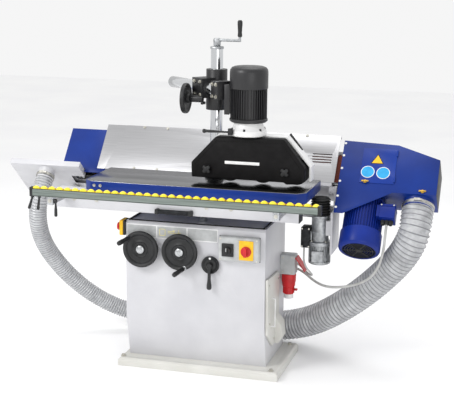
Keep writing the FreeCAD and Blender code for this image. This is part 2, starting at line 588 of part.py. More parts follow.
table_hollow = box("end_left+4", "end_right-4", "end_front+4", "end_back-4", "end_low+3",
                   "end_low+end_thick-3")
arm_notch = box("idler_x-40", "end_right+1", f"{drum_y}-36", f"{drum_y}+36", "end_low-1",
                "end_low+end_thick+1")
end_body = cut(box("end_left", "end_right", "end_front", "end_back", "end_low", "end_low+end_thick"),
               table_hollow, arm_notch)
piece("end_table", cut(
    fuse(end_body, rod("z", "end_spigot_x", "end_spigot_y", "end_low-end_spigot_long", "end_low+1",
                       "end_spigot_radius")),
    rod("z", "end_spigot_x", "end_spigot_y", "end_low-end_spigot_long-1", "end_low+5",
        "end_spigot_radius-3")), tilted=True)
piece("end_table_knob", fuse(
    rod("z", "knob_x", "knob_y", "end_low-40", "end_low-14", "knob_radius"),
    rod("z", "knob_x", "knob_y", "end_low-20", "end_low-seat_gap", 9)), tilted=True)

belt_high = "belt_low+belt_wide"
frame_low, frame_high = "belt_low+9", "belt_low+belt_wide-8"
carriage_parts = [cut(
    box("frame_left", "frame_right", "platen_back", "frame_back", frame_low, frame_high),
    box("frame_left+frame_wall", "frame_right-frame_wall", "platen_back+frame_wall",
        "frame_back-frame_wall", "belt_low+9+frame_wall", "belt_low+belt_wide-8-frame_wall"))]
for inner, outer, post in (("frame_right-38", "drive_x+24", ("frame_right-38", "frame_right")),
                           ("idler_x-24", "frame_left+38", ("frame_left", "frame_left+38"))):
    for low, high in ((f"{belt_high}+7", f"{belt_high}+17"), ("belt_low-25", "belt_low-13")):
        carriage_parts.append(box(inner, outer, f"{drum_y}-22", f"{drum_y}+22", low, high))
    carriage_parts.append(box(*post, f"{drum_y}-22", f"{drum_y}+22", f"{frame_high}-1",
                              f"{belt_high}+17"))
    carriage_parts.append(box(*post, f"{drum_y}-22", f"{drum_y}+22", "belt_low-25",
                              f"{frame_low}+1"))
carriage_holes = [rod("z", x, drum_y, "belt_low-30", f"{belt_high}+30", "drum_shaft+run_gap")
                  for x in ("drive_x", "idler_x")]
carriage_holes += [rod("z", x, "39", "belt_low-5", "belt_low+30", "15+run_gap") for x in ("-350", "350")]
piece("belt_carriage", cut(fuse(*carriage_parts), *carriage_holes), tilted=True)
piece("platen", box("platen_left", "platen_right", "belt_face+belt_thick+seat_gap", "platen_back",
                    "belt_low", belt_high), tilted=True)


def belt_loop(radius, low, high):
    """The space inside a belt that runs round both drums."""
    return fuse(box("idler_x", "drive_x", f"{drum_y}-({radius})", f"{drum_y}+({radius})", low, high),
                rod("z", "idler_x", drum_y, low, high, radius),
                rod("z", "drive_x", drum_y, low, high, radius))


piece("sanding_belt", cut(
    belt_loop("drum_radius+seat_gap+belt_thick", "belt_low", belt_high),
    belt_loop("drum_radius+seat_gap", "belt_low-1", f"{belt_high}+1")), tilted=True)


def drum(x, shaft_low):
    return [rod("z", x, drum_y, "belt_low-drum_gap", f"{belt_high}+drum_gap", "drum_radius"),
            rod("z", x, drum_y, shaft_low, f"{belt_high}+19", "drum_shaft")]


piece("drive_drum", fuse(*drum("drive_x", "belt_low-27"),
                         rod("z", "drive_x", drum_y, "motor_top-40", "belt_low", "drum_shaft-3")),
      tilted=True)
piece("idler_drum", fuse(*drum("idler_x", "belt_low-27")), tilted=True)

# ---------------------------------------------------------------- power feeder

arm_offset = "post_radius+overarm_radius+8"
arm_point = f"(post_x-({arm_offset})*sin(overarm_turn))", f"(post_y-({arm_offset})*cos(overarm_turn))"


def along_arm(item):
    """Stand a piece, drawn along X from the overarm's middle, on the overarm's line."""
    holder = group(item)
    holder.Placement = FreeCAD.Placement(FreeCAD.Vector(),
                                         FreeCAD.Rotation(FreeCAD.Vector(0, 0, -1), 40))
    bind(holder, Placement_Rotation_Angle="overarm_turn", Placement_Base_x=arm_point[0],
         Placement_Base_y=arm_point[1], Placement_Base_z="arm_height")
    return holder


piece("column_foot", cut(
    fuse(rod("z", "post_x", "post_y", "table_top", "table_top+14", "foot_radius"),
         rod("z", "post_x", "post_y", "table_top", "table_top+foot_high", "post_radius+11")),
    rod("z", "post_x", "post_y", "table_top-1", "table_top+foot_high+1", "post_radius+run_gap")))
piece("feeder_column", cut(
    fuse(rod("z", "post_x", "post_y", "table_top+seat_gap", "post_top", "post_radius"),
         rod("z", "post_x", "post_y", "post_top", "post_top+9", "post_radius+3")),
    rod("z", "post_x", "post_y", "post_top-60", "post_top+10", "9+run_gap")))
piece("column_crank", fuse(
    rod("z", "post_x", "post_y", "post_top-55", "crank_height", 9),
    rod("z", "post_x", "post_y", "post_top+10", "crank_height", 17),
    box("post_x", "post_x+crank_arm+10", "post_y-9", "post_y+9", "crank_height-12", "crank_height"),
    rod("z", "post_x+crank_arm+10", "post_y", "crank_height-12", "crank_height+84", 6),
    rod("z", "post_x+crank_arm+10", "post_y", "crank_height+10", "crank_height+88", 12)))
piece("feeder_block", cut(
    fuse(rod("z", "post_x", "post_y", "block_low", "block_high", "block_radius"),
         along_arm(box(-46, 38, -44, 42, "-46", "46")),
         rod("x", "wheel_y", "wheel_z", "post_x-100", "post_x-40", 17)),
    rod("z", "post_x", "post_y", "block_low-1", "block_high+1", "post_radius+run_gap"),
    along_arm(rod("x", 0, 0, -120, 120, "overarm_radius+run_gap")),
    rod("x", "wheel_y", "wheel_z", "post_x-130", "post_x-60", "spindle_radius+run_gap")))
piece("overarm", along_arm(rod("x", 0, 0, "-overarm_back", "overarm_front", "overarm_radius")))
piece("arm_handwheel", fuse(
    rod("x", "wheel_y", "wheel_z", "post_x-134", "post_x-112", "reach_wheel_radius"),
    rod("x", "wheel_y", "wheel_z", "post_x-134", "post_x-101", 20),
    rod("x", "wheel_y", "wheel_z", "post_x-126", "post_x-64", "spindle_radius")))

bracket_clear = rod("z", "head_x", "head_y", "feed_motor_low-20", "feed_motor_high+20",
                    "feed_motor_radius+seat_gap")
bracket_bore = along_arm(rod("x", 0, 0, "overarm_front-90", "overarm_front+seat_gap",
                             "overarm_radius+run_gap"))
bracket_lug = along_arm(box("overarm_front-44", "overarm_front+10", -40, 40, "-42", "42"))
bracket_foot = box("head_x-feed_motor_radius-20", "head_x-20", "head_y-32", "head_y+32",
                   "feed_motor_low+32", "arm_height+30")
piece("head_bracket", cut(fuse(bracket_lug, bracket_foot), bracket_clear, bracket_bore))

head_outline = [(-48, 934), (-50, 1003), (65, 1126), (386, 1130), (486, 1001), (486, 948),
                 (468, 927), (400, 923), (391, 932)]
piece("feeder_cover", prism("XZ", head_outline, "cover_face", "cover_face+cover_deep"))
tray_outline = [(-48, 950), (-48, 1004), (67, "head_high"), (392, "head_high"), (506, 1003), (506, 934)]
tray_hollow = [(-38, 930), (-38, 1000), (72, "head_high-tray_sheet"), (387, "head_high-tray_sheet"),
               (496, 1000), (496, 930)]
axle_holes = [rod("y", f"feed_wheel_x+{row}*feed_wheel_pitch", "feed_wheel_low+feed_wheel_radius",
                  "tray_back-20", "tray_back+1", "feed_axle+run_gap") for row in (-1, 0, 1)]
piece("feeder_body", cut(prism("XZ", tray_outline, "cover_face+cover_deep", "tray_back"),
                         prism("XZ", tray_hollow, "cover_face+cover_deep-1", "tray_back-tray_sheet"),
                         *axle_holes))
piece("feeder_gearbox", fuse(
    rod("z", "head_x", "head_y", "head_high", "head_high+26", "feed_motor_radius-4"),
    cone("head_x", "head_y", "head_high+26", "feed_motor_low", "feed_motor_radius-4", 66)))
piece("feeder_motor", fuse(
    rod("z", "head_x", "head_y", "feed_motor_low", "feed_motor_low+16", "feed_motor_radius"),
    rod("z", "head_x", "head_y", "feed_motor_low", "feed_motor_high-90", "feed_motor_radius-4"),
    rod("z", "head_x", "head_y", "feed_motor_high-96", "feed_motor_high", "feed_motor_radius")))
wheel_names = ("feed_wheel_left", "feed_wheel_middle", "feed_wheel_right")
for number, label in enumerate(wheel_names):
    along = (f"feed_wheel_x+{number - 1}*feed_wheel_pitch", "feed_wheel_low+feed_wheel_radius")
    piece(label, fuse(rod("y", *along, "cover_face+62", "cover_face+62+feed_wheel_wide",
                          "feed_wheel_radius"),
                      rod("y", *along, "cover_face+cover_deep+seat_gap", "tray_back-1", "feed_axle")))
piece("ratchet_lever", fuse(
    rod("z", "lever_x", "lever_y", "head_high+6", "head_high+36", 12),
    box("lever_end", "lever_x", "lever_y-5", "lever_y+5", "head_high+lever_lift+4",
        "head_high+lever_lift+14"),
    rod("z", "lever_end", "lever_y", "head_high+lever_lift", "head_high+lever_lift+18", 9)))

# ---------------------------------------------------------------- dust ducts, cables, manifold

box_half = "(manifold_left-manifold_neck)"
piece("dust_manifold", cut(
    fuse(box(f"-{box_half}", box_half, "manifold_front", "manifold_back", "manifold_sheet+5",
             "manifold_high"),
         box(f"-{box_half}+25", f"{box_half}-25", "cab_rear", "manifold_front+2", 60, 160),
         rod("x", "large_port_y", "large_port_z", f"{box_half}-1", "manifold_left", "large_duct-5"),
         rod("x", "small_port_y", "small_port_z", "-manifold_left", f"-{box_half}+1", "small_duct-3"),
         rod("y", 0, "outlet_height", "manifold_back-1", "manifold_back+outlet_long",
             "outlet_radius")),
    box(f"-{box_half}+manifold_sheet", f"{box_half}-manifold_sheet", "manifold_front+manifold_sheet",
        "manifold_back-manifold_sheet", "2*manifold_sheet+5", "manifold_high-manifold_sheet"),
    rod("x", "large_port_y", "large_port_z", f"{box_half}-5", "manifold_left+1",
        "large_duct-5-manifold_sheet"),
    rod("x", "small_port_y", "small_port_z", "-manifold_left-1", f"-{box_half}+5",
        "small_duct-3-manifold_sheet"),
    rod("y", 0, "outlet_height", "manifold_back-5", "manifold_back+outlet_long+1",
        "outlet_radius-manifold_sheet")))


def from_unit(x, y, z):
    """A point of the tilting unit's frame, in the machine's frame."""
    turn = math.radians(value_of("tilt_angle"))
    return (value_of(x), value_of("pivot_y") + value_of(y) * math.cos(turn) + value_of(z) * math.sin(turn),
            value_of("pivot_z") - value_of(y) * math.sin(turn) + value_of(z) * math.cos(turn))


large_route = [from_unit("spigot_x", "spigot_y", "house_low-14"),
               from_unit("spigot_x", "spigot_y", "house_low-110"),
               (960, 68, 660), (905, 98, 555), (820, 140, 452), (718, 178, 348), (600, 220, 250),
               (480, 280, 165), (365, 327, 112), (250, 345, 88), (140, 345, 88)]
small_route = [from_unit("end_spigot_x", "end_spigot_y", "end_low-20"),
               from_unit("end_spigot_x", "end_spigot_y", "end_low-82"),
               (-902, 36, 745), (-912, 34, 685), (-918, 46, 618), (-918, 74, 545), (-903, 112, 465),
               (-862, 158, 375), (-798, 208, 280), (-706, 256, 192), (-596, 296, 126),
               (-470, 322, 93), (-320, 332, 80), (-140, 332, 80)]
shape_piece("large_duct", hose(large_route, value_of("large_duct"), value_of("large_duct-duct_wall")))
shape_piece("small_duct", hose(small_route, value_of("small_duct"), value_of("small_duct-2")))

motor_route = [from_unit("drive_x+motor_radius+20", "-5", "motor_top-113"),
               from_unit("drive_x+motor_radius+20", "-5", "motor_top-178"),
               (838, 0, 620), (818, 10, 532), (772, 20, 464), (700, 36, 424), (612, 56, 400),
               (540, 92, 392), (480, 140, 404), (430, 188, 424), (386, 209, 438), (352, 205, 441),
               (320, 205, 441)]
gear_route = [(447, 72, 582), (447, 72, 553), (449, 60, 518), (462, 62, 484), (482, 78, 456),
              (484, 108, 436), (462, 142, 430), (430, 178, 441), (392, 202, 464), (354, 205, 480),
              (320, 205, 480)]
motor_lead = hose(motor_route, value_of("motor_cable"))
gear_lead = hose(gear_route, value_of("gear_cable"))
shape_piece("power_cables", Part.makeCompound([motor_lead, gear_lead]))

# ---------------------------------------------------------------- check and write

doc.recompute()
faults = []
for item in doc.Objects:
    if "Invalid" in item.State or "Error" in item.State:
        faults.append(f"{item.Name}: {item.State}")
for label, item in pieces.items():
    if item.Shape.isNull() or not item.Shape.isValid() or not item.Shape.Solids:
        faults.append(f"{label}: bad shape")
if faults:
    raise RuntimeError("; ".join(faults))
os.makedirs("parts", exist_ok=True)
for label, item in pieces.items():
    item.Shape.exportStep(f"parts/{label}.step")
print(f"{len(pieces)} sub-parts, {sum(len(item.Shape.Solids) for item in pieces.values())} solids")
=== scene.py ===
"""An oscillating edge belt sander with a power feeder, shown with its belt unit tilted back."""
import json
import math

import bmesh
import bpy
from mathutils import Matrix, Vector


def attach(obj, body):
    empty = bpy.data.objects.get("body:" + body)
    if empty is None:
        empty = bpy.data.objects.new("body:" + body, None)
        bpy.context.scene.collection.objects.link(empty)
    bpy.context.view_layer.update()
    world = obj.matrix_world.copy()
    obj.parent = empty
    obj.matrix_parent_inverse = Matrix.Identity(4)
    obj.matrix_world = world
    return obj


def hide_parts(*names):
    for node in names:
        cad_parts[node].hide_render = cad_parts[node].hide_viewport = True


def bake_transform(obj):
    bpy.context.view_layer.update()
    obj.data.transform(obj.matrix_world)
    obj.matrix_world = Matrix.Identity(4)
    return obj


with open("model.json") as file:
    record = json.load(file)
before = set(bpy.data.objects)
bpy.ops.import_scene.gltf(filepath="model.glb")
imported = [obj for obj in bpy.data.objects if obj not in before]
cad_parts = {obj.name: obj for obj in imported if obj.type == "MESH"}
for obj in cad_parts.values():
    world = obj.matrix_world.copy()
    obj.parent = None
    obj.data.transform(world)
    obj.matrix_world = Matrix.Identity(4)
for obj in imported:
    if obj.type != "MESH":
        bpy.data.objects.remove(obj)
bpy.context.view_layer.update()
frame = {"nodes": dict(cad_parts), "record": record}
scene = bpy.context.scene
BODY_OF = {node: body for body, nodes in frame["record"]["behaviour"]["bodies"].items()
           for node in nodes}

# ------------------------------------------------------------------ camera

camera = bpy.data.objects.new("camera", bpy.data.cameras.new("camera"))
scene.collection.objects.link(camera)
camera.data.sensor_width = 36
camera.data.lens = 93.8
CAMERA_SPOT = (1.5549, -5.3069, 1.9526)
CAMERA_RIGHT = Vector((0.9630, 0.2693, 0.01025))
CAMERA_UP = Vector((-0.0647, 0.1943, 0.9789))
CAMERA_BACK = Vector((0.2616, -0.9433, 0.2045))
camera.matrix_world = Matrix.Translation(CAMERA_SPOT) @ Matrix(
    (CAMERA_RIGHT, CAMERA_UP, CAMERA_BACK)).transposed().to_4x4()
scene.camera = camera

# ------------------------------------------------------------------ materials


def linear(code):
    """An sRGB hex colour as the linear values that a shader takes."""
    parts = [int(code[i:i + 2], 16) / 255 for i in (1, 3, 5)]
    return tuple(v / 12.92 if v <= 0.04045 else ((v + 0.055) / 1.055) ** 2.4 for v in parts) + (1,)


def add(tree, kind, sockets=None, **settings):
    """Add one shader node, set its settings, and link or set its sockets."""
    item = tree.nodes.new("ShaderNode" + kind)
    for name, value in settings.items():
        setattr(item, name, value)
    for name, value in (sockets or {}).items():
        if isinstance(value, bpy.types.NodeSocket):
            tree.links.new(value, item.inputs[name])
        else:
            item.inputs[name].default_value = value
    return item


def start(name, **values):
    """A material with its principled shader; constants go straight on the shader's sockets."""
    material = bpy.data.materials.new(name)
    material.use_nodes = True
    shader = material.node_tree.nodes["Principled BSDF"]
    for socket, value in values.items():
        shader.inputs[socket.replace("_", " ")].default_value = value
    return material, material.node_tree, shader


def tone(tree, shader, factor, low, high, at=(0.35, 0.65)):
    """Colour the shader between two hex colours along a factor."""
    ramp = add(tree, "ValToRGB", {"Fac": factor})
    for element, spot, code in zip(ramp.color_ramp.elements, at, (low, high)):
        element.position = spot
        element.color = linear(code)
    tree.links.new(ramp.outputs["Color"], shader.inputs["Base Color"])


def sheen_range(tree, shader, factor, low, high):
    """Let the roughness wander between two values."""
    spread = add(tree, "MapRange", {"Value": factor, "From Min": 0.3, "From Max": 0.7,
                                    "To Min": low, "To Max": high})
    tree.links.new(spread.outputs["Result"], shader.inputs["Roughness"])


def relief(tree, shader, height, depth_mm, strength=1.0):
    """Bump of a real depth in millimetres."""
    bump = add(tree, "Bump", {"Height": height, "Distance": depth_mm / 1000, "Strength": strength})
    tree.links.new(bump.outputs["Normal"], shader.inputs["Normal"])


def noise(tree, size_mm, stretch=(1, 1, 1), detail=2.0):
    """Noise whose blotches are about this size; stretch lengthens them along an axis."""
    place = add(tree, "TexCoord")
    turned = add(tree, "Mapping", {"Vector": place.outputs["Object"],
                                   "Scale": [1 / value for value in stretch]})
    return add(tree, "TexNoise", {"Vector": turned.outputs["Vector"], "Scale": 1000 / size_mm,
                                  "Detail": detail}).outputs["Fac"]


def powder_coat(name, low, high, roughness, peel_mm=3.0, shine=0.5):
    """Powder coat on sheet steel: even colour, soft gloss and a faint orange peel.
    The peel of about 1 mm is drawn at 3 mm so that it shows."""
    material, tree, shader = start(name, IOR=1.5, Specular_IOR_Level=shine,
                                   Coat_Weight=0.3 * shine, Coat_Roughness=0.25)
    tone(tree, shader, noise(tree, 260, detail=4), low, high)
    sheen_range(tree, shader, noise(tree, 90, detail=3), roughness, roughness + 0.12)
    relief(tree, shader, noise(tree, peel_mm), 0.05, 0.5)
    return material


def moulded(name, low, high, roughness, grain_mm=1.2, depth_mm=0.06, shine=0.5):
    """Moulded plastic or rubber with a fine eroded grain."""
    material, tree, shader = start(name, IOR=1.49, Specular_IOR_Level=shine)
    tone(tree, shader, noise(tree, 35, detail=3), low, high)
    sheen_range(tree, shader, noise(tree, 22), roughness, roughness + 0.15)
    relief(tree, shader, noise(tree, grain_mm), depth_mm, 0.6)
    return material


def metal(name, low, high, roughness, mark_mm=1.2, stretch=(1, 1, 1), depth_mm=0.02, spread=0.15):
    """Bare metal; stretch lengthens the tool marks along the way it was worked."""
    material, tree, shader = start(name, Metallic=1.0)
    tone(tree, shader, noise(tree, mark_mm * 6, stretch, 4), low, high)
    sheen_range(tree, shader, noise(tree, mark_mm * 3, stretch, 3), roughness, roughness + spread)
    relief(tree, shader, noise(tree, mark_mm, stretch, 4), depth_mm, 0.5)
    return material


# Light grey powder coat of the cabinet, apron, beam and end table: pale, slightly warm
light_coat = powder_coat("light_grey_powder_coat", "#bebec2", "#cacacd", 0.38)
# Cream powder coat of the base plate and side cover
cream_coat = powder_coat("cream_powder_coat", "#c6c5bf", "#d2d1cc", 0.42)
# Ultramarine powder coat of the housings and table sides
blue_coat = powder_coat("ultramarine_powder_coat", "#0b276e", "#103182", 0.30, shine=0.22)
# The same blue, painted lighter for the hinged lid and its hinges: a painted highlight for the light
# that the lid catches
lid_painted_highlight_coat = powder_coat("ultramarine_lid_painted_highlight", "#102d7e", "#163890", 0.28, shine=0.22)
# Blue enamel on the main motor's cast fins
motor_enamel = powder_coat("blue_motor_enamel", "#0a2272", "#102c86", 0.34, 5.0, 0.22)
# Black enamel of the feeder's motor and block
black_enamel = powder_coat("black_enamel", "#0d0d0f", "#17171a", 0.40, 4.0)
# Textured black moulding of the feeder's cover
black_cover = moulded("black_abs_cover", "#0c0b0c", "#131213", 0.5, 1.6, 0.08, 0.15)
# Off-white enamel of the feeder's body and gearbox
white_enamel = powder_coat("white_enamel", "#d8d8d8", "#e8e8e8", 0.32, 4.0)
# Glass-filled nylon of handwheels, levers and knobs: black with a dull bloom
black_nylon = moulded("black_nylon", "#111213", "#1d1e20", 0.42)
# Softer black rubber: gaskets, boots, feed wheels
black_rubber = moulded("black_rubber", "#0e0e0e", "#191919", 0.62, 1.8, 0.1)
# Grey ABS of the switch box and inlet box
grey_abs = moulded("light_grey_abs", "#a9abab", "#b9bbbb", 0.48)
# Yellow plastic of the two switch housings
yellow_abs = moulded("yellow_abs", "#e8b210", "#f4c21c", 0.38)
# Brighter lemon yellow of the rail's rollers
lemon_nylon = moulded("lemon_nylon", "#e9d420", "#f6e43a", 0.36)
# Red plastic of the switch handle, stop button and plug
red_abs = moulded("red_abs", "#b3131a", "#c91d22", 0.34)
# White plastic: plates, small caps and the wire bail's sleeve
white_abs = moulded("white_abs", "#dadada", "#e8e8e8", 0.40)
# Printed vinyl of the blank panels
sky_vinyl = moulded("sky_blue_vinyl", "#1e96cf", "#28a5dc", 0.3)
legend_yellow = moulded("faded_yellow_print", "#d8d08c", "#e0d89a", 0.5)
orange_vinyl = moulded("orange_vinyl", "#d97a14", "#e98b22", 0.45)
# Light grey PVC lead
grey_pvc = moulded("grey_pvc", "#a8a8a6", "#b8b8b6", 0.45, 2.0, 0.03)
# Black PVC of the cable glands
black_pvc = moulded("black_pvc", "#141414", "#1e1e1e", 0.45, 2.0, 0.03)
# Hard chrome of the columns and overarm: near mirror with faint turned marks round it
hard_chrome = metal("hard_chrome", "#c4c6c8", "#dcdee0", 0.08, 0.8, (1, 1, 0.15), 0.004, 0.06)
# Turned bright steel of hubs and shafts
bright_steel = metal("bright_steel", "#a9abad", "#c6c8ca", 0.22, 0.8)
# Anodised aluminium of the rail, drawn along its length
drawn_aluminium = metal("anodised_aluminium", "#77807b", "#8d9691", 0.34, 1.0, (40, 1, 1))
# Cast aluminium of the gear motor: rough, dull, with a blotchy tone
cast_aluminium = metal("cast_aluminium", "#96999b", "#bcbec0", 0.38, 2.5, (1, 1, 1), 0.15, 0.25)
# Ground top of the table, marks running along the machine
ground_iron = metal("ground_cast_iron", "#737475", "#858687", 0.18, 0.6, (60, 1, 1), 0.004, 0.08)
# Brushed stainless sheet of the guard panel
brushed_sheet = metal("brushed_stainless", "#b4b4b6", "#bebec0", 0.32, 0.5, (60, 1, 1), 0.003, 0.06)
# Zinc plate on screws, bands and washers
zinc_plate = metal("zinc_plate", "#b9b7ae", "#d0cec6", 0.30, 1.5)
# Brass of the wing latches
brass = metal("brass", "#b08d3c", "#c9a552", 0.25, 1.0)
# Blackened castings: carriage, foot and small boxes
dark_iron = metal("blackened_cast_iron", "#2b2c2e", "#3d3e40", 0.5, 2.5, (1, 1, 1), 0.12)

# Coated abrasive: red-brown resin with grit, drawn at 1.5 mm so that it shows
abrasive, tree, shader = start("aluminium_oxide_cloth", Roughness=0.85)
tone(tree, shader, noise(tree, 1.5, detail=5), "#4a1c14", "#7c3a2a")
relief(tree, shader, noise(tree, 1.5, detail=5), 0.3)


def duct_film(name, low, high):
    """Clear ribbed PVC film on a spring-steel spiral: hazy between ribs, a dark line on each rib.
    The piece's UV map runs once round in U and once a pitch in V."""
    material, tree, shader = start(name, Roughness=0.22, IOR=1.5, Specular_IOR_Level=0.8)
    place = add(tree, "UVMap")
    split = add(tree, "SeparateXYZ", {"Vector": place.outputs["UV"]})
    turn = add(tree, "Math", {0: split.outputs["X"], 1: split.outputs["Y"]}, operation="ADD")
    phase = add(tree, "Math", {0: turn.outputs[0]}, operation="FRACT")
    centred = add(tree, "Math", {0: phase.outputs[0], 1: 0.5}, operation="SUBTRACT")
    away = add(tree, "Math", {0: centred.outputs[0]}, operation="ABSOLUTE")
    wire = add(tree, "MapRange", {"Value": away.outputs[0], "From Min": 0.06, "From Max": 0.11,
                                  "To Min": 1.0, "To Max": 0.0})
    haze = noise(tree, 45, detail=3)
    film = add(tree, "ValToRGB", {"Fac": haze})
    film.color_ramp.elements[0].color = linear(low)
    film.color_ramp.elements[1].color = linear(high)
    mix = add(tree, "Mix", {"Factor": wire.outputs["Result"], "A": film.outputs["Color"],
                            "B": linear("#6d6f73")}, data_type="RGBA")
    tree.links.new(mix.outputs["Result"], shader.inputs["Base Color"])
    see = add(tree, "MapRange", {"Value": haze, "From Min": 0.3, "From Max": 0.7,
                                 "To Min": 0.5, "To Max": 0.72})
    solid = add(tree, "Math", {0: see.outputs["Result"], 1: wire.outputs["Result"]},
                operation="MAXIMUM")
    tree.links.new(solid.outputs[0], shader.inputs["Alpha"])
    return material


large_film = duct_film("clear_duct_film", "#a6a8ab", "#e2e3e5")
small_film = duct_film("clear_duct_film_small", "#b4b6b9", "#dfe0e2")

FINISH = {node: material for material, nodes in (
    (cream_coat, "base_plate side_cover"), (dark_iron, "column_foot belt_carriage"),
    (light_coat, "cabinet_shell rear_beam trunnion_brackets dust_manifold table_apron tilt_frame"),
    (light_coat, "end_table"), (bright_steel, "lift_sleeve rail_arms platen idler_drum"),
    (grey_abs, "control_box inlet_box"), (yellow_abs, "estop_box"),
    (red_abs, "power_plug inlet_lid estop_button main_switch_knob"),
    (black_nylon, "tilt_handwheel tilt_wheel_grip lift_handwheel lift_wheel_grip clamp_lever"),
    (black_nylon, "selector_switch rail_lever column_crank arm_handwheel ratchet_lever"),
    (black_nylon, "end_table_knob"), (cast_aluminium, "gear_motor"), (abrasive, "sanding_belt"),
    (black_rubber, "gear_bellows feed_wheel_left feed_wheel_middle feed_wheel_right drive_drum"),
    # The access lid takes the blue with the painted highlight
    (blue_coat, "table_top drive_housing idler_cover"), (lid_painted_highlight_coat, "access_lid"),
    (hard_chrome, "lift_column feeder_column overarm"), (drawn_aluminium, "roller_rail"),
    (lemon_nylon, "rollers"), (black_enamel, "feeder_block head_bracket feeder_motor"),
    (white_enamel, "feeder_body feeder_gearbox"), (black_cover, "feeder_cover"),
    (brushed_sheet, "guard_panel"), (motor_enamel, "main_motor")) for node in nodes.split()}

# ------------------------------------------------------------------ making pieces

MM = 0.001
# The tilting unit's own directions: Z up the belt, -Y out of the belt's face
UNIT = Matrix.Translation((0, 0.150, 0.850)) @ Matrix.Rotation(math.radians(-40), 4, "X")
SHARP = math.radians(30)
WELD = 1e-6  # metres: points nearer than this are one
TURN_TO = {"x": Matrix.Rotation(math.radians(90), 4, "Y"),
           "y": Matrix.Rotation(math.radians(-90), 4, "X"), "z": Matrix.Identity(4)}


def round_edges(bm, width_mm, segments=2):
    """Bevel every edge where two faces meet at more than SHARP."""
    edges = [e for e in bm.edges if len(e.link_faces) == 2 and e.calc_face_angle() > SHARP]
    bmesh.ops.bevel(bm, geom=edges, offset=width_mm * MM, offset_type="OFFSET", segments=segments,
                    profile=0.5, affect="EDGES", clamp_overlap=True, material=-1)


def finish(bm, name, body, material, replaces=(), unit=False, smooth=40, flip=True):
    """Turn a bmesh into a finished piece that rides on a body, unless the body is None."""
    bmesh.ops.remove_doubles(bm, verts=bm.verts, dist=WELD)
    if flip:
        bmesh.ops.recalc_face_normals(bm, faces=bm.faces)
    if unit:
        bm.transform(UNIT)
    mesh = bpy.data.meshes.new(name)
    bm.to_mesh(mesh)
    bm.free()
    mesh.shade_smooth()
    mesh.set_sharp_from_angle(angle=math.radians(smooth))
    materials = material if isinstance(material, (list, tuple)) else [material]
    for item in materials:
        mesh.materials.append(item)
    piece = bpy.data.objects.new(name, mesh)
    scene.collection.objects.link(piece)
    if body:
        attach(piece, body)
    if replaces:
        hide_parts(*replaces)
    return piece


def block(bm, x0, x1, y0, y1, z0, z1):
    """A box between sizes in mm."""
    centre = Vector((x0 + x1, y0 + y1, z0 + z1)) * MM / 2
    size = Vector((abs(x1 - x0), abs(y1 - y0), abs(z1 - z0))) * MM
    return bmesh.ops.create_cube(bm, size=1, matrix=Matrix.Translation(centre)
                                 @ Matrix.Diagonal(size.to_4d()))["verts"]


def rod(bm, axis, centre, start_mm, end_mm, radius, end_radius=None, segments=32):
    """A round bar along an axis; centre gives its other two coordinates."""
    spot = list(centre)
    spot.insert("xyz".index(axis), (start_mm + end_mm) / 2)
    low, high = radius, radius if end_radius is None else end_radius
    matrix = Matrix.Translation(Vector(spot) * MM) @ TURN_TO[axis]
    return bmesh.ops.create_cone(bm, cap_ends=True, segments=segments, radius1=low * MM,
                                 radius2=high * MM, depth=abs(end_mm - start_mm) * MM,
                                 matrix=matrix)["verts"]


def spun(axis, centre, profile, segments=48):
    """A new bmesh: a profile of (radius, place along the axis) spun round an axis."""
    bm = bmesh.new()
    points = [bm.verts.new(Vector((r, 0, t)) * MM) for r, t in profile]
    edges = [bm.edges.new(pair) for pair in zip(points, points[1:])]
    bmesh.ops.spin(bm, geom=points + edges, cent=(0, 0, 0), axis=(0, 0, 1),
                   angle=math.tau, steps=segments, use_merge=True, use_duplicate=False)
    bmesh.ops.remove_doubles(bm, verts=[v for v in bm.verts if v.is_valid], dist=WELD)
    spot = list(centre)
    spot.insert("xyz".index(axis), 0)
    bm.transform(Matrix.Translation(Vector(spot) * MM) @ TURN_TO[axis])
    return bm


def ring_of(bm, axis, centre, count, sizes):
    """The same block many times round an axis; its sizes are measured from the centre."""
    spot = list(centre)
    spot.insert("xyz".index(axis), 0)
    for step in range(count):
        turn = Matrix.Rotation(math.tau * step / count, 4, axis.upper())
        bmesh.ops.transform(bm, matrix=Matrix.Translation(Vector(spot) * MM) @ turn,
                            verts=block(bm, *sizes))


def round_spots(centre, radius, count, level):
    """Places evenly round an upright axis, the first half a step on."""
    return [(centre[0] + radius * math.cos(a), centre[1] + radius * math.sin(a), level)
            for a in (math.tau * (k + 0.5) / count for k in range(count))]


def merge(bm, *others):
    """Copy other bmeshes into the first."""
    for other in others:
        mesh = bpy.data.meshes.new("part")
        other.to_mesh(mesh)
        other.free()
        bm.from_mesh(mesh)
        bpy.data.meshes.remove(mesh)
    return bm


def copy_of(node):
    """A CAD node's own shape, with its flat faces whole again."""
    bm = bmesh.new()
    bm.from_mesh(frame["nodes"][node].data)
    bmesh.ops.remove_doubles(bm, verts=bm.verts, dist=WELD)
    bmesh.ops.dissolve_limit(bm, angle_limit=math.radians(0.5), verts=bm.verts, edges=bm.edges)
    return bm


def soften(node, width_mm):
    """A CAD node shown with rounded edges."""
    bm = copy_of(node)
    round_edges(bm, width_mm)
    finish(bm, node + "_finished", BODY_OF[node], FINISH[node], replaces=[node], flip=False)


for node, item in frame["nodes"].items():
    item.data.materials.clear()
    item.data.materials.append(FINISH.get(node, light_coat))

# ------------------------------------------------------------------ ducts and leads


def route_curve(name, points, radius_mm=0):
    """An open smooth curve with these route points, in mm."""
    data = bpy.data.curves.new(name, "CURVE")
    data.dimensions = "3D"
    spline = data.splines.new("NURBS")
    spline.points.add(len(points) - 1)
    for item, spot in zip(spline.points, points):
        item.co = (*(Vector(spot) * MM), 1)
    spline.order_u = 3
    spline.use_endpoint_u = True
    data.resolution_u = 16
    data.render_resolution_u = 16
    data.bevel_depth = radius_mm * MM
    data.bevel_resolution = 5
    data.use_fill_caps = True
    piece = bpy.data.objects.new(name, data)
    scene.collection.objects.link(piece)
    return piece


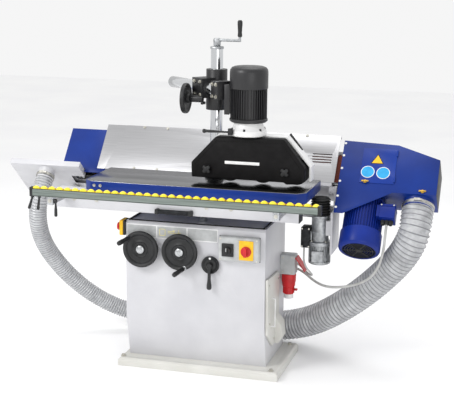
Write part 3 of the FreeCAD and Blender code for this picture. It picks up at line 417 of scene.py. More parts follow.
def line_of(points):
    """Points read along a route's smooth curve."""
    piece = route_curve("route", points)
    mesh = bpy.data.meshes.new_from_object(piece)
    line = [v.co.copy() for v in mesh.vertices]
    bpy.data.meshes.remove(mesh)
    bpy.data.objects.remove(piece)
    return line


def length_of(line):
    """How long a line of points is, in metres."""
    return sum((b - a).length for a, b in zip(line, line[1:]))


def frames_along(line):
    """For each point of a line: how far along it is, and two directions square to it."""
    tangent = (line[1] - line[0]).normalized()
    side = tangent.orthogonal().normalized()
    far = 0
    frames = []
    for i, spot in enumerate(line):
        ahead = line[min(i + 1, len(line) - 1)] - line[max(i - 1, 0)]
        turn = tangent.rotation_difference(ahead.normalized())
        tangent = ahead.normalized()
        side = (turn @ side).normalized()
        if i:
            far += (spot - line[i - 1]).length
        frames.append((far, spot, side, tangent.cross(side)))
    return frames


STEPS_PER_RIB = 8


def ribbed_duct(name, points, radius, pitch, depth, material, node, around=32):
    """A thin ribbed duct rolled from a grid and laid along its route."""
    line = line_of(points)
    frames = frames_along(line)
    long = frames[-1][0]
    turns = long / (pitch * MM)
    steps = int(turns * STEPS_PER_RIB)
    bm = bmesh.new()
    bmesh.ops.create_grid(bm, x_segments=steps, y_segments=around, size=0.5, calc_uvs=True)
    uv = bm.loops.layers.uv.verify()
    for face in bm.faces:
        for loop in face.loops:
            spot = loop.vert.co
            loop[uv].uv = (spot.y + 0.5, (spot.x + 0.5) * turns)
    here = 0
    for vert in sorted(bm.verts, key=lambda v: v.co.x):
        along, round_it = vert.co.x + 0.5, vert.co.y + 0.5
        far = along * long
        while here < len(frames) - 2 and frames[here + 1][0] < far:
            here += 1
        (a, pa, sa, ua), (b, pb, sb, ub) = frames[here], frames[here + 1]
        share = (far - a) / (b - a)
        spot, side, up = pa.lerp(pb, share), sa.lerp(sb, share), ua.lerp(ub, share)
        rib = (0.5 - 0.5 * math.cos(math.tau * (along * turns + round_it))) ** 1.6
        size = (radius - depth * (1 - rib)) * MM
        angle = math.tau * round_it
        vert.co = spot + size * (math.cos(angle) * side + math.sin(angle) * up)
    bmesh.ops.remove_doubles(bm, verts=bm.verts, dist=1e-5)
    piece = finish(bm, name, None, material, replaces=[node], smooth=180)
    wall = piece.modifiers.new("film", "SOLIDIFY")
    wall.thickness = 1.0 * MM
    return piece, line


def unit_point(x, y, z):
    """A point of the tilting unit's own frame, in mm in the machine's frame."""
    return UNIT @ (Vector((x, y, z)) * MM) / MM


LARGE_ROUTE = [unit_point(972, 20, -39), unit_point(972, 20, -135),
               (960, 68, 660), (905, 98, 555), (820, 140, 452), (718, 178, 348), (600, 220, 250),
               (480, 280, 165), (365, 327, 112), (250, 345, 88), (140, 345, 88)]
SMALL_ROUTE = [unit_point(-893, -38, -29), unit_point(-893, -38, -91),
               (-902, 36, 745), (-912, 34, 685), (-918, 46, 618), (-918, 74, 545),
               (-903, 112, 465), (-862, 158, 375), (-798, 208, 280), (-706, 256, 192),
               (-596, 296, 126), (-470, 322, 93), (-320, 332, 80), (-140, 332, 80)]
MOTOR_ROUTE = [unit_point(840, -5, -145), unit_point(840, -5, -210), (838, 0, 620),
               (818, 10, 532), (772, 20, 464), (700, 36, 424), (612, 56, 400), (540, 92, 392),
               (480, 140, 404), (430, 188, 424), (386, 209, 438), (352, 205, 441), (320, 205, 441)]
GEAR_ROUTE = [(447, 72, 582), (447, 72, 553), (449, 60, 518), (462, 62, 484), (482, 78, 456),
              (484, 108, 436), (462, 142, 430), (430, 178, 441), (392, 202, 464),
              (354, 205, 480), (320, 205, 480)]

large_duct, large_line = ribbed_duct("large_duct_film", LARGE_ROUTE, 75, 20, 7, large_film,
                                     "large_duct", 40)
small_duct, small_line = ribbed_duct("small_duct_film", SMALL_ROUTE, 45, 13, 4, small_film,
                                     "small_duct", 32)
motor_lead = route_curve("main_motor_lead", MOTOR_ROUTE, 6)
gear_lead = route_curve("gear_motor_lead", GEAR_ROUTE, 4.5)
for lead in (motor_lead, gear_lead):
    lead.data.materials.append(grey_pvc)
    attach(lead, "base")
    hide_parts("power_cables")
# A copy of the small duct's path with its last point 12 mm lower; nothing below uses it
small_path = [list(p) for p in small_line]
small_path[-1][2] -= 12 * MM
length_of(line_of(MOTOR_ROUTE))
length_of(line_of(GEAR_ROUTE))

EDGE_WIDTH = {"base_plate": 3, "cabinet_shell": 2.5, "side_cover": 4, "rear_beam": 3,
              "trunnion_brackets": 1.5, "dust_manifold": 2, "table_apron": 1.2, "access_lid": 1.2,
              "idler_cover": 2.5, "end_table": 2.5, "feeder_body": 4, "feeder_cover": 6,
              "feeder_block": 3, "head_bracket": 3, "column_foot": 3, "rail_arms": 1.5,
              "guard_panel": 0.6, "tilt_frame": 1.2, "belt_carriage": 1.5, "platen": 0.8}
for node, width in EDGE_WIDTH.items():
    soften(node, width)

# ------------------------------------------------------------------ repeated details


def heads(name, body, material, axis, spots, radius=6, high=4, way=-1, sides=6, unit=False):
    """Identical screw heads with washers, standing on a face; way is the side they stand on."""
    bm = bmesh.new()
    for spot in spots:
        place = list(spot)
        seat = place.pop("xyz".index(axis))
        rod(bm, axis, place, seat, seat + way * 1.2, radius * 1.5, segments=20)
        rod(bm, axis, place, seat, seat + way * high, radius, segments=sides)
    return finish(bm, name, body, material, unit=unit)


def plate(name, body, material, sizes, width=1.0, unit=False, replaces=(), segments=2):
    """A block with rounded edges."""
    bm = bmesh.new()
    block(bm, *sizes)
    round_edges(bm, width, segments=segments)
    return finish(bm, name, body, material, unit=unit, replaces=replaces)


def turned(name, body, material, axis, centre, profile, unit=False, replaces=(), segments=48):
    """A turned piece."""
    return finish(spun(axis, centre, profile, segments), name, body, material, unit=unit,
                  replaces=replaces)


def hose_clamp(name, body, axis, centre, start_mm, radius, unit=False):
    """A worm-drive steel band with its screw housing."""
    band = spun(axis, centre, [(radius, start_mm), (radius + 1.2, start_mm),
                               (radius + 1.2, start_mm + 12), (radius, start_mm + 12),
                               (radius, start_mm)], 64)
    if axis == "z":
        x, y = centre[0], centre[1] - radius - 4
        block(band, x - 14, x + 14, y - 5, y + 3, start_mm, start_mm + 12)
        rod(band, "x", (y - 1, start_mm + 6), x + 14, x + 24, 4.5, segments=12)
    else:
        block(band, start_mm, start_mm + 12, centre[0] - 14, centre[0] + 14,
              centre[1] + radius - 1, centre[1] + radius + 7)
    return finish(band, name, body, zinc_plate, unit=unit)


# ------------------------------------------------------------------ controls

LEAN = Vector((0, -1, 0)).rotation_difference(Vector((-0.31, -0.93, -0.18))).to_matrix().to_4x4()
WHEEL = [(0, -222), (22, -222), (24, -219), (33, -218), (37, -221), (41, -218), (58, -215), (66, -217),
         (71, -225), (78, -228), (85, -225.5), (88, -218), (86, -210), (80, -206.5), (73, -208),
         (68, -211), (26, -211), (21, -206), (19, -188), (0, -188)]
GRIP = [(0, -94), (6, -93.6), (10, -91), (11.6, -82), (10.8, -62), (9.6, -42), (10.4, -27), (9.6, -19),
        (6, -17), (0, -17)]
PIN = [(0, -60), (5, -60), (5, -17), (8, -16), (8, -9), (11, -7), (11, 0), (0, 0)]
WHEEL_HIGH = 585
for side, wheel_x, hand_x, hand_z in (("tilt", -276, -50, 57), ("lift", -84, 28, -72)):
    wheel_body = side + "_handwheel"
    wheel = spun("y", (wheel_x, WHEEL_HIGH), WHEEL, 96)
    rod(wheel, "y", (wheel_x, WHEEL_HIGH), -190, -115, 9)
    finish(wheel, wheel_body + "_disc", wheel_body, black_nylon, replaces=[wheel_body])
    turned(wheel_body + "_hub_cap", wheel_body, bright_steel, "y", (wheel_x, WHEEL_HIGH),
           [(0, -231), (15, -231), (19, -228), (19, -221), (0, -221)])
    stand = Matrix.Translation(Vector((wheel_x + hand_x, -217, WHEEL_HIGH + hand_z)) * MM) @ LEAN
    pin = spun("y", (0, 0), PIN, 24)
    pin.transform(stand)
    finish(pin, wheel_body + "_grip_pin", wheel_body, bright_steel if side == "lift" else black_nylon)
    grip = spun("y", (0, 0), GRIP, 32)
    grip.transform(stand)
    finish(grip, side + "_wheel_grip_sleeve", side + "_wheel_grip", black_nylon,
           replaces=[side + "_wheel_grip"])
    turned(wheel_body + "_wall_bush", "base", black_nylon, "y", (wheel_x, WHEEL_HIGH),
           [(9.5, -186), (17, -186), (17, -185), (9.5, -185)])

DISC = (60, 530)
disc = spun("y", DISC, [(0, -206), (12, -206), (14, -201), (28, -199), (34, -203), (39, -205),
                             (42, -201), (42, -191), (38, -187.3), (0, -187.3)], 64)
merge(disc, spun("y", DISC, [(0, -222), (12, -221), (15, -217), (15, -203), (0, -203)], 32),
      spun("z", (60, -213), [(0, 416), (8, 417), (12, 423), (11.5, 437), (8, 462), (7, 500), (9, 528),
                             (0, 534)], 24))
rod(disc, "y", DISC, -190, -145, 9)
finish(disc, "clamp_lever_disc", "clamp_lever", black_nylon, replaces=["clamp_lever"])
turned("clamp_lever_dot", "clamp_lever", white_abs, "y", (60, 563),
       [(0, -204.4), (5, -204.4), (5.6, -203.6), (5.6, -202), (0, -202)], segments=24)

plate("control_box_case", "base", grey_abs, (106, 300, -227, -185, 562, 678), 9, segments=4,
      replaces=["control_box"])
plate("control_box_seam", "base", black_rubber, (105.6, 300.4, -201, -199.4, 562, 678), 0.4)
plate("selector_plate", "base", black_nylon, (124, 180, -234, -226, 586, 648), 3)
plate("main_switch_plate", "base", yellow_abs, (206, 274, -232, -226, 574, 666), 4)
heads("control_box_screws", "base", zinc_plate, "y", [(x, -226.6, z) for x in (116, 290)
                                                     for z in (571, 669)], 3, 2, sides=16)
selector = spun("y", (152, 617), [(0, -251), (14, -251), (17, -248), (18, -240), (18, -234.3),
                                  (0, -234.3)], 36)
block(selector, 147.5, 156.5, -260, -250, 601, 634)
round_edges(selector, 1.2)
finish(selector, "selector_knob", "selector_switch", black_nylon, replaces=["selector_switch"])
plate("selector_pointer", "selector_switch", grey_abs, (150.4, 153.6, -260.8, -259.6, 616, 633), 0.5)
knob = spun("y", (240, 616), [(0, -240), (22, -240), (25, -237), (25, -232.3), (0, -232.3)], 48)
block(knob, 233, 247, -257, -239, 594, 638)
round_edges(knob, 2)
finish(knob, "main_switch_handle", "main_switch_knob", red_abs, replaces=["main_switch_knob"])

plate("estop_box_front", "base", yellow_abs, (-390, -371, -196, -124, 640, 712), 4, segments=3,
      replaces=["estop_box"])
plate("estop_box_back", "base", black_nylon, (-372, -360, -195, -125, 641, 711), 3)
turned("estop_collar", "base", black_nylon, "x", (-160, 676),
       [(9, -390), (9, -393), (21, -393), (24, -391), (24, -390), (9, -390)])
turned("estop_mushroom", "estop_button", red_abs, "x", (-160, 676),
       [(0, -412), (10, -411.4), (17, -408.5), (19, -404), (18.4, -399), (11, -397.2), (8, -396),
        (8, -374), (0, -374)], replaces=["estop_button"])

# ------------------------------------------------------------------ right wall

plate("inlet_box_case", "base", grey_abs, (320, 394, 122, 188, 425, 523), 5, replaces=["inlet_box"])
heads("inlet_box_screws", "base", zinc_plate, "y", [(x, 122.4, z) for x in (333, 380)
                                                   for z in (438, 510)], 3.2, 2, sides=16)
PLUG = (358, 155)
plug = spun("z", PLUG, [(0, 301), (17, 301), (21, 304), (22, 322), (26, 326), (28, 360),
                              (32, 364), (33, 382), (35, 386), (36, 420), (35, 424.6), (0, 424.6)])
ring_of(plug, "z", PLUG, 14, (26, 29, -1.6, 1.6, 328, 359))
finish(plug, "power_plug_moulding", "power_plug", red_abs, replaces=["power_plug"])
turned("power_plug_end_ring", "power_plug", white_abs, "z", PLUG,
       [(16, 300.8), (21, 300.8), (23.5, 303), (23.5, 322), (21, 324), (18, 324), (16, 300.8)])
thumb = bmesh.new()
block(thumb, 386, 402, 146, 164, 340, 350)
round_edges(thumb, 3)
finish(thumb, "power_plug_catch", "power_plug", red_abs)
bail = bmesh.new()
rod(bail, "z", (352, -104), 231, 368, 3, segments=16)
for height in (231, 368):
    rod(bail, "x", (-104, height), 332, 354, 3, segments=16)
finish(bail, "side_cover_bail", "base", white_abs)
heads("side_cover_screws", "base", zinc_plate, "x",
      [(334, -150, 440), (334, 30, 430), (334, -132, 250), (334, 45, 150), (334, -40, 150)], 4, 3, 1)
for height, lead_radius in ((441, 6), (480, 4.5)):
    turned(f"lead_gland_{height}", "base", black_pvc, "x", (205, height),
           [(lead_radius, 349), (lead_radius + 1.5, 349), (lead_radius + 4.5, 342),
            (lead_radius + 4.5, 335), (lead_radius + 7, 334), (lead_radius + 7, 326),
            (lead_radius + 4, 325), (lead_radius + 4, 320), (lead_radius, 320),
            (lead_radius, 349)], segments=24)

# ------------------------------------------------------------------ base and cabinet

heads("anchor_bolt_heads", "base", zinc_plate, "z",
      [(x, y, 40) for x in (-377, 357) for y in (-185, 216)], 9, 9, 1)
gasket = bmesh.new()
for sizes in ((-350, 310, -172, -166, 711, 717), (-350, -344, -172, 140, 711, 717),
              (304, 310, -172, 140, 711, 717)):
    block(gasket, *sizes)
finish(gasket, "cabinet_top_gasket", "base", black_rubber)
plate("legend_strip", "base", white_abs, (-357, 93, -186, -184.6, 636, 699), 0.5)
for number, left in enumerate((-352, -203, -54)):
    plate(f"legend_panel_{number}", "base", grey_abs, (left, left + 143, -186.5, -185.6, 641, 694), 0.3)
    marks = bmesh.new()
    for along, low, wide, high in ((10, 10, 30, 3), (10, 40, 30, 3), (10, 10, 3, 33), (37, 10, 3, 33),
                                   (52, 24, 40, 3), (52, 31, 26, 3), (104, 12, 3, 30),
                                   (96, 26, 20, 3)):
        block(marks, left + along, left + along + wide, -187, -186.3, 641 + low, 641 + low + high)
    rod(marks, "y", (left + 82, 676), -187, -186.3, 8, segments=3)
    finish(marks, f"legend_marks_{number}", "base", (grey_abs, legend_yellow)[number % 2])

# ------------------------------------------------------------------ oscillation drive

GEAR = (519, 92)
drive = bmesh.new()
rod(drive, "z", GEAR, 508, 604, 46, segments=48)
ring_of(drive, "z", GEAR, 32, (44, 53, -1.3, 1.3, 514, 596))
merge(drive, spun("z", GEAR, [(0, 505), (46, 505), (52, 509), (53, 518), (46, 518)]),
      spun("z", GEAR, [(46, 594), (54, 597), (54, 613), (50, 616), (41, 618), (41, 652), (43, 655),
                            (43, 664), (41, 667), (41, 728), (44, 731), (44, 740), (0, 740)]))
block(drive, 492, 546, 34, 50, 522, 574)
block(drive, 474, 520, 72, 112, 618, 662)
finish(drive, "gear_motor_casting", "base", cast_aluminium, replaces=["gear_motor"])
plate("gear_motor_terminal_box", "base", dark_iron, (432, 477, 60, 128, 582, 682), 4, segments=3)
heads("gear_motor_box_screws", "base", zinc_plate, "y", [(x, 60.4, z) for x in (438, 471)
                                                        for z in (589, 675)], 2.6, 2, sides=14)
heads("gear_motor_flange_bolts", "base", zinc_plate, "z",
      round_spots(GEAR, 47, 4, 616), 4, 5, 1)
folds = [(0, 740), (40, 740)]
for fold in range(7):
    folds += [(46.5, 744 + 12 * fold), (46.5, 746 + 12 * fold), (38, 751 + 12 * fold)]
folds += [(38, 826), (0, 826)]
turned("gear_bellows_folds", "base", black_rubber, "z", GEAR, folds, replaces=["gear_bellows"])

# ------------------------------------------------------------------ table and roller rail

top = copy_of("table_top")
round_edges(top, 1.8)
for face in top.faces:
    if face.calc_center_median().z > 0.9035:
        face.material_index = 1
finish(top, "table_top_ground", "table", [blue_coat, ground_iron], replaces=["table_top"], flip=False)
heads("apron_bolts", "table", zinc_plate, "y", [(x, -238, 812) for x in (-598, -486, 52, 168)], 7, 6)
plate("apron_end_cap", "table", black_nylon, (482, 488, -238, -168, 767, 853), 2)
handle = bmesh.new()
rod(handle, "x", (-254, 781), -178, -22, 11, segments=28)
finish(handle, "lift_handle_tube", "table", dark_iron)
for number, left in enumerate((-190, -28)):
    plate(f"lift_handle_bracket_{number}", "table", black_nylon,
          (left, left + 18, -268, -237, 768, 794), 5, segments=3)
heads("table_front_bolts", "table", zinc_plate, "y", [(x, -250, 884) for x in (-492, -462)], 5, 5)
for number, (x, lean) in enumerate(((-735, 18), (-700, 8))):
    grip = spun("z", (0, 0), [(0, -58), (6, -57), (7, -50), (5, -14), (5, 0), (8, 2), (8, 9),
                              (0, 9)], 20)
    grip.transform(Matrix.Translation(Vector((x, -406, 842)) * MM)
                   @ Matrix.Rotation(math.radians(lean), 4, "Y"))
    finish(grip, f"roller_rail_clamp_{number}", "roller_rail", black_nylon)
LIFT = (-10, -85)
turned("lift_column_bar", "table", hard_chrome, "z", LIFT,
       [(0, 470), (21, 470), (21.5, 472), (21.5, 846), (0, 846)], replaces=["lift_column"])
turned("lift_column_flange", "table", light_coat, "z", LIFT,
       [(21.5, 843), (44, 843), (47.5, 846), (47.5, 855), (21.5, 855)])

rail = copy_of("roller_rail")
round_edges(rail, 0.8)
block(rail, -735, 611, -420.6, -419, 866, 868)
finish(rail, "roller_rail_extrusion", "roller_rail", drawn_aluminium, replaces=["roller_rail"],
       flip=False)
lines = bmesh.new()
for sizes in ((-735, 611, -420.4, -417.4, 884, 886.4), (-735, 611, -420.5, -419, 853, 855)):
    block(lines, *sizes)
finish(lines, "roller_rail_dark_lines", "roller_rail", black_nylon)
plate("roller_rail_rim", "roller_rail", orange_vinyl, (-734, 610, -395, -392.2, 884, 888), 0.6)
rollers = bmesh.new()
for number in range(35):
    merge(rollers, spun("y", (-714 + 38.5 * number, 880),
                        [(0, -416.4), (11, -416.4), (16.4, -413.6), (18, -409), (18, -403),
                         (16.4, -398.4), (11, -395.6), (0, -395.6)], 20))
finish(rollers, "roller_barrels", "roller_rail", lemon_nylon, replaces=["rollers"])
for name, left in (("left", -743), ("right", 603)):
    plate(f"roller_rail_end_{name}", "roller_rail", black_nylon,
          (left, left + 16, -421, -391, 848, 892), 3)
lever = spun("x", (-406, 831), [(0, -627.7), (9, -627.7), (10, -626), (10, -615), (8, -613),
                                (0, -613)], 24)
merge(lever, spun("z", (-619, -406), [(0, 758), (6, 759), (7.5, 764), (7, 790), (4.5, 812), (4.5, 832),
                                      (0, 832)], 20))
finish(lever, "rail_lever_handle", "rail_lever", black_nylon, replaces=["rail_lever"])
heads("rail_arm_bolts", "roller_rail", zinc_plate, "y", [(x, -418, 832) for x in (-643, 420)], 6, 5)

# ------------------------------------------------------------------ power feeder

POST = (14, 48)
turned("feeder_column_bar", "table", hard_chrome, "z", POST,
       [(0, 905.4), (29, 905.4), (29, 1514), (0, 1514)], replaces=["feeder_column"], segments=64)
turned("feeder_column_cap", "table", cast_aluminium, "z", POST,
       [(29, 1512), (31, 1512), (32, 1514), (32, 1521), (29.5, 1524), (18, 1524), (18, 1520),
        (29, 1512)])
heads("column_foot_bolts", "table", zinc_plate, "z",
      round_spots(POST, 45, 4, 919), 5, 5, 1)
crank = spun("z", POST, [(0, 1562), (13, 1562), (17, 1559), (18, 1552), (17, 1530), (14, 1525),
                             (9, 1524), (9, 1462), (0, 1462)])
arm = bmesh.new()
block(arm, 14, 128, 38, 58, 1547, 1560)
round_edges(arm, 4, segments=3)
merge(crank, arm)
rod(crank, "z", (124, 48), 1547, 1572, 6, segments=24)
finish(crank, "column_crank_casting", "column_crank", cast_aluminium, replaces=["column_crank"])
turned("column_crank_grip", "column_crank", black_nylon, "z", (124, 48),
       [(0, 1648), (7, 1647.5), (11.4, 1642), (12, 1630), (10.5, 1608), (9.5, 1590), (11, 1576),
        (9, 1570), (0, 1570)], segments=32)

# The overarm's own directions: X along it, with its axis 64 mm beside the column
ARM_BESIDE = 0.064
ARM = Matrix.Translation((0.014 - ARM_BESIDE * math.sin(math.radians(40)),
                          0.048 - ARM_BESIDE * math.cos(math.radians(40)), 1.335)) @ Matrix.Rotation(
    math.radians(-40), 4, "Z")
tube = spun("x", (0, 0), [(22.5, -290), (25.5, -290), (27, -288), (27, 148), (25.5, 150), (22.5, 150),
                          (22.5, -290)], 64)
tube.transform(ARM)
finish(tube, "overarm_tube", "overarm", hard_chrome, replaces=["overarm"])
for name, body, face, places in (("block_clamp", "feeder_block", -44, ((-26, 22), (30, -30))),
                                 ("bracket_clamp", "overarm", -40, ((118, 148), (28, -28)))):
    bolts = bmesh.new()
    for z in places[1]:
        for x in places[0]:
            rod(bolts, "y", (x, z), face, face - 2, 9, segments=20)
            rod(bolts, "y", (x, z), face, face - 8, 6.5, segments=6)
    bolts.transform(ARM)
    finish(bolts, name + "_bolts", body, zinc_plate)
slit = bmesh.new()
block(slit, -46.4, 38.4, -44.4, -20, -1.2, 1.2)
slit.transform(ARM)
finish(slit, "block_split_line", "feeder_block", black_rubber)
clamp = spun("x", (48, 1255), [(0, -60), (7, -60), (7, -42), (0, -42)], 20)
merge(clamp, spun("x", (48, 1255), [(0, -62), (9, -62), (9, -52), (0, -52)], 20))
finish(clamp, "block_clamp_lever", "feeder_block", black_nylon)

RIM = [(0, -114), (18, -114), (22, -111), (50, -108), (57, -113), (64, -120), (70, -118.5),
       (72, -110), (70, -101), (64, -98.4), (57, -101), (50, -104), (22, -101), (20, -88), (0, -88)]
REACH = (-44, 1285)
reach = spun("x", REACH, RIM, 72)
rod(reach, "x", REACH, -114, -50, 8, segments=24)
finish(reach, "arm_handwheel_disc", "arm_handwheel", black_nylon, replaces=["arm_handwheel"])
turned("arm_handwheel_cap", "arm_handwheel", bright_steel, "x", REACH,
       [(0, -119), (10, -119), (12, -117), (12, -113), (0, -113)], segments=32)

HEAD = (208, -95)
motor = spun("z", HEAD, [(0, 1196), (80, 1196), (88, 1203), (88, 1211), (85, 1214), (77, 1215),
                               (77, 1352), (0, 1352)], 72)
ring_of(motor, "z", HEAD, 44, (75, 84.5, -1.4, 1.4, 1214, 1356))
finish(motor, "feeder_motor_fins", "feeder_head", black_enamel, replaces=["feeder_motor"])
turned("feeder_motor_fan_cover", "feeder_head", black_enamel, "z", HEAD,
       [(79, 1350), (87, 1350), (88, 1352), (88, 1424), (86, 1436), (79, 1445), (66, 1450), (30, 1452),
        (0, 1452)], segments=72)
turned("feeder_gearbox_flange", "feeder_head", white_enamel, "z", HEAD,
       [(0, 1134), (80, 1134), (84, 1138), (84, 1157), (81, 1161), (76, 1164), (66, 1190), (66, 1196),
        (0, 1196)], replaces=["feeder_gearbox"], segments=64)
heads("feeder_gearbox_plugs", "feeder_head", dark_iron, "z",
      round_spots(HEAD, 76, 6, 1161), 5, 9, 1)
ratchet = spun("z", (142, -166), [(0, 1141.5), (11, 1141.5), (12, 1143), (12, 1168), (9, 1171),
                                  (0, 1171)], 28)
merge(ratchet, spun("x", (-166, 1154), [(0, 18), (5.5, 18), (7, 24), (6.5, 50), (4.5, 90), (4.5, 142),
                                        (0, 142)], 20),
      spun("z", (18, -166), [(0, 1145), (6, 1145.5), (9, 1149), (9, 1158), (6, 1162.5), (0, 1163)], 24))
finish(ratchet, "ratchet_handle", "ratchet_lever", black_nylon, replaces=["ratchet_lever"])
rim = bmesh.new()
for ends in (((-30, 945), (-32, 999)), ((-32, 999), (72, 1109)), ((72, 1109), (379, 1113)),
             ((379, 1113), (468, 998)), ((468, 998), (468, 955))):
    (x0, z0), (x1, z1) = ends
    length = math.hypot(x1 - x0, z1 - z0)
    bar = block(rim, -length / 2 - 2, length / 2 + 2, -150.8, -148, -2, 2)
    bmesh.ops.transform(rim, matrix=Matrix.Translation(Vector(((x0 + x1) / 2, 0, (z0 + z1) / 2)) * MM)
                        @ Matrix.Rotation(-math.atan2(z1 - z0, x1 - x0), 4, "Y"), verts=bar)
round_edges(rim, 0.8)
finish(rim, "feeder_cover_raised_rim", "feeder_head", black_cover)
plate("feeder_blank_panel", "feeder_head", white_abs, (112, 276, -150.9, -149, 1004, 1018), 1)
switch = bmesh.new()
block(switch, -46, 46, -6, 6, -5, 5)
for vert in switch.verts:
    if vert.co.x > 0:
        vert.co = vert.co * 0.62 + Vector((0.018, 0, 0))
round_edges(switch, 2, segments=3)
switch.transform(Matrix.Translation((0.440, -0.120, 1.118))
                 @ Matrix.Rotation(math.radians(50), 4, "Y"))
finish(switch, "feeder_direction_lever", "feeder_head", black_nylon)
for number, (x, z) in enumerate(((27, 975), (396, 980))):
    knob = spun("y", (x, z), [(0, -166), (10, -166), (13, -163), (12, -152), (0, -149)], 32)
    for lobe in range(4):
        turn = math.pi / 4 + lobe * math.pi / 2
        rod(knob, "y", (x + 13 * math.cos(turn), z + 13 * math.sin(turn)), -165, -154, 8, 8.6, 20)
    round_edges(knob, 1)
    finish(knob, f"feeder_cover_knob_{number}", "feeder_head", black_nylon)
for side, x in (("left", 118), ("middle", 276), ("right", 434)):
    tyre = spun("y", (x, 970), [(20, -86), (48, -88), (56, -86), (58, -83), (58, -41), (56, -38),
                                (48, -36), (20, -38)], 64)
    ring_of(tyre, "y", (x, 970), 36, (55, 57.9, -84, -40, -1.6, 1.6))
    finish(tyre, f"feed_wheel_{side}_tyre", "feed_wheel_" + side, black_rubber,
           replaces=["feed_wheel_" + side])
    turned(f"feed_wheel_{side}_hub", "feed_wheel_" + side, zinc_plate, "y", (x, 970),
           [(0, -93.5), (12, -93.5), (12, -88), (26, -88), (28, -86), (28, -38), (12, -36), (12, -21.5),
            (0, -21.5)], segments=36)

# ------------------------------------------------------------------ belt unit

heads("guard_panel_screws", "sanding_unit", zinc_plate, "y",
      [(x, -35, v) for x, v in ((-436, 276), (-313, 276), (404, 276), (-440, 37), (-319, 37),
                                (404, 37))],
      5, 3, sides=20, unit=True)
house = copy_of("drive_housing")
round_edges(house, 2.2)
for face in house.faces:
    if face.normal.x > 0.9 and face.calc_center_median().x > 1.05:
        face.material_index = 1
finish(house, "drive_housing_sheet", "sanding_unit", [blue_coat, black_nylon],
       replaces=["drive_housing"], flip=False)
heads("drive_housing_screws", "sanding_unit", white_abs, "y",
      [(603, -63, v) for v in (-120, -60, 20, 90, 160, 228)], 4, 2.5, sides=20, unit=True)
hinge = bmesh.new()
for low in (26, 168):
    rod(hinge, "z", (857, -67), low, low + 30, 4.2, segments=20)
# The hinges take the lid's lighter blue, a painted highlight
finish(hinge, "access_lid_hinges", "sanding_unit", lid_painted_highlight_coat, unit=True)
for number, (x, v, latch_body) in enumerate(((722, 22, "access_lid"), (993, -12, "sanding_unit"))):
    face = -66.3 if latch_body == "access_lid" else -63
    wing = spun("y", (x, v), [(0, face - 8), (7, face - 8), (9, face - 6), (9, face), (0, face)], 24)
    block(wing, x - 17, x + 17, face - 10, face - 6, v - 4, v + 4)
    round_edges(wing, 1)
    finish(wing, f"wing_latch_{number}", latch_body, brass, unit=True)
for number, (x, v) in enumerate(((728, 76), (801, 74))):
    turned(f"access_lid_round_panel_{number}", "access_lid", sky_vinyl, "y", (x, v),
           [(0, -67), (29, -67), (29, -66), (0, -66)], unit=True)
    turned(f"access_lid_panel_edge_{number}", "access_lid", white_abs, "y", (x, v),
           [(29, -67.1), (32, -67.1), (32, -66), (29, -66), (29, -67.1)], unit=True)
for name, radius, proud, colour in (("edge", 36, 66.9, black_nylon), ("face", 29, 67.2, yellow_abs)):
    sign = bmesh.new()
    rod(sign, "z", (0, 0), -1, 0, radius, segments=3)
    sign.transform(Matrix.Translation(Vector((767, -proud, 140)) * MM)
                   @ Matrix.Rotation(math.radians(90), 4, "X"))
    finish(sign, "access_lid_triangle_" + name, "access_lid", colour, unit=True)

DRUM = (722, 39.8)
frame_motor = spun("z", DRUM, [(0, -205), (84, -205), (84, -44), (88, -40), (92, -36),
                                        (92, -32), (80, -30), (80, -25), (0, -25)], 64)
ring_of(frame_motor, "z", DRUM, 44, (82, 92, -1.5, 1.5, -203, -36))
block(frame_motor, 790, 806, -38, 34, -140, -80)
finish(frame_motor, "main_motor_fins", "sanding_unit", motor_enamel, unit=True,
       replaces=["main_motor"])
turned("main_motor_fan_cover", "sanding_unit", motor_enamel, "z", DRUM,
       [(96, -200), (98, -202), (98, -278), (94, -286), (86, -290), (80, -290), (78, -286), (94, -278),
        (94, -202), (96, -200)], unit=True, segments=64)
grille = bmesh.new()
for ring_radius in (16, 28, 40, 52, 64, 76):
    merge(grille, spun("z", DRUM, [(ring_radius, -288), (ring_radius + 4, -288),
                                   (ring_radius + 4, -285), (ring_radius, -285),
                                   (ring_radius, -288)], 48))
ring_of(grille, "z", DRUM, 6, (8, 82, -2.5, 2.5, -287.5, -284))
rod(grille, "z", DRUM, -288.5, -284, 14, segments=32)
finish(grille, "main_motor_grille", "sanding_unit", black_nylon, unit=True)
box_piece = bmesh.new()
block(box_piece, 804, 876, -42, 38, -145, -88)
block(box_piece, 803, 877, -43, 39, -86, -75)
block(box_piece, 806, 874, -40, 36, -89, -85)
round_edges(box_piece, 4, segments=3)
finish(box_piece, "main_motor_terminal_box", "sanding_unit", motor_enamel, unit=True)
heads("main_motor_box_screws", "sanding_unit", zinc_plate, "y",
      [(x, -42.6, -81) for x in (811, 869)], 2.6, 2, sides=14, unit=True)
for number, x in enumerate((822, 840, 858)):
    turned(f"main_motor_gland_{number}", "sanding_unit", black_pvc, "z", (x, -5),
           [(6, -168), (8, -168), (10, -163), (10, -156), (12, -155), (12, -147), (9, -146), (9, -144),
            (6, -144), (6, -168)], unit=True, segments=24)

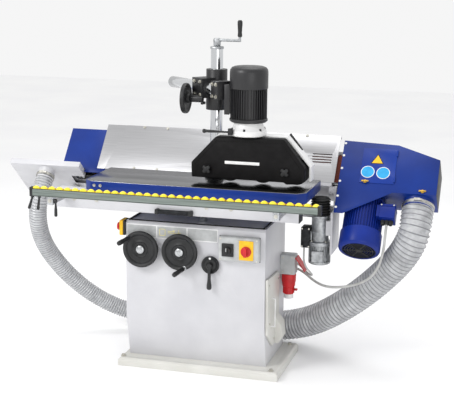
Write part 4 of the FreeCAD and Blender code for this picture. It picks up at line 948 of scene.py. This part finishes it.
STAR = (-772, 105)
star = spun("z", STAR, [(0, -49), (15, -49), (20, -45), (20, -30), (14, -25), (0, -25)], 32)
for lobe in range(6):
    turn = lobe * math.tau / 6
    rod(star, "z", (STAR[0] + 20 * math.cos(turn), STAR[1] + 20 * math.sin(turn)), -47, -29, 9.2,
        segments=20)
round_edges(star, 1.5)
rod(star, "z", STAR, -30, -9.4, 9, segments=24)
finish(star, "end_table_knob_star", "end_table_knob", black_nylon, unit=True,
       replaces=["end_table_knob"])
turned("end_table_knob_washer", "end_table_knob", zinc_plate, "z", STAR,
       [(9, -14), (16, -14), (16, -11), (9, -11), (9, -14)], unit=True, segments=28)
for node in ("drive_drum", "idler_drum", "sanding_belt"):
    soften(node, 1.2)
hose_clamp("large_duct_clamp_top", "sanding_unit", "z", (972, 20), -56, 75.4, unit=True)
hose_clamp("small_duct_clamp_top", "sanding_unit", "z", (-893, -38), -52, 45.4, unit=True)
hose_clamp("large_duct_clamp_low", "base", "x", (345, 88), 126, 75.4)
hose_clamp("small_duct_clamp_low", "base", "x", (332, 80), -138, 45.4)
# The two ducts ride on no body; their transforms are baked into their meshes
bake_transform(large_duct)
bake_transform(small_duct)

# ------------------------------------------------------------------ light and floor

floor_mesh = bmesh.new()
bmesh.ops.create_grid(floor_mesh, x_segments=1, y_segments=1, size=12)
mesh = bpy.data.meshes.new("floor")
floor_mesh.to_mesh(mesh)
floor_mesh.free()
floor = bpy.data.objects.new("floor", mesh)
scene.collection.objects.link(floor)
floor_finish, tree, shader = start("pale_floor", Roughness=0.9)
tone(tree, shader, noise(tree, 900), "#f7f7f8", "#fbfbfb")
mesh.materials.append(floor_finish)

world = bpy.data.worlds.new("studio")
world.use_nodes = True
sky = world.node_tree.nodes["Background"]
sky.inputs["Color"].default_value = linear("#ffffff")
sky.inputs["Strength"].default_value = 0.92
scene.world = world
scene.view_settings.view_transform = "Standard"


def soft_light(name, spot, aim, size, power):
    lamp = bpy.data.objects.new(name, bpy.data.lights.new(name, "AREA"))
    lamp.data.size = size
    lamp.data.energy = power
    lamp.location = spot
    lamp.rotation_euler = (Vector(aim) - Vector(spot)).to_track_quat("-Z", "Y").to_euler()
    scene.collection.objects.link(lamp)


soft_light("key", (-2.4, -3.2, 3.4), (0, 0, 0.8), 1.6, 105)
soft_light("fill", (2.4, -4.2, 1.2), (0.2, 0, 0.7), 2.4, 30)
soft_light("top", (0.2, 0.8, 4.2), (0, 0, 0.8), 2.6, 45)
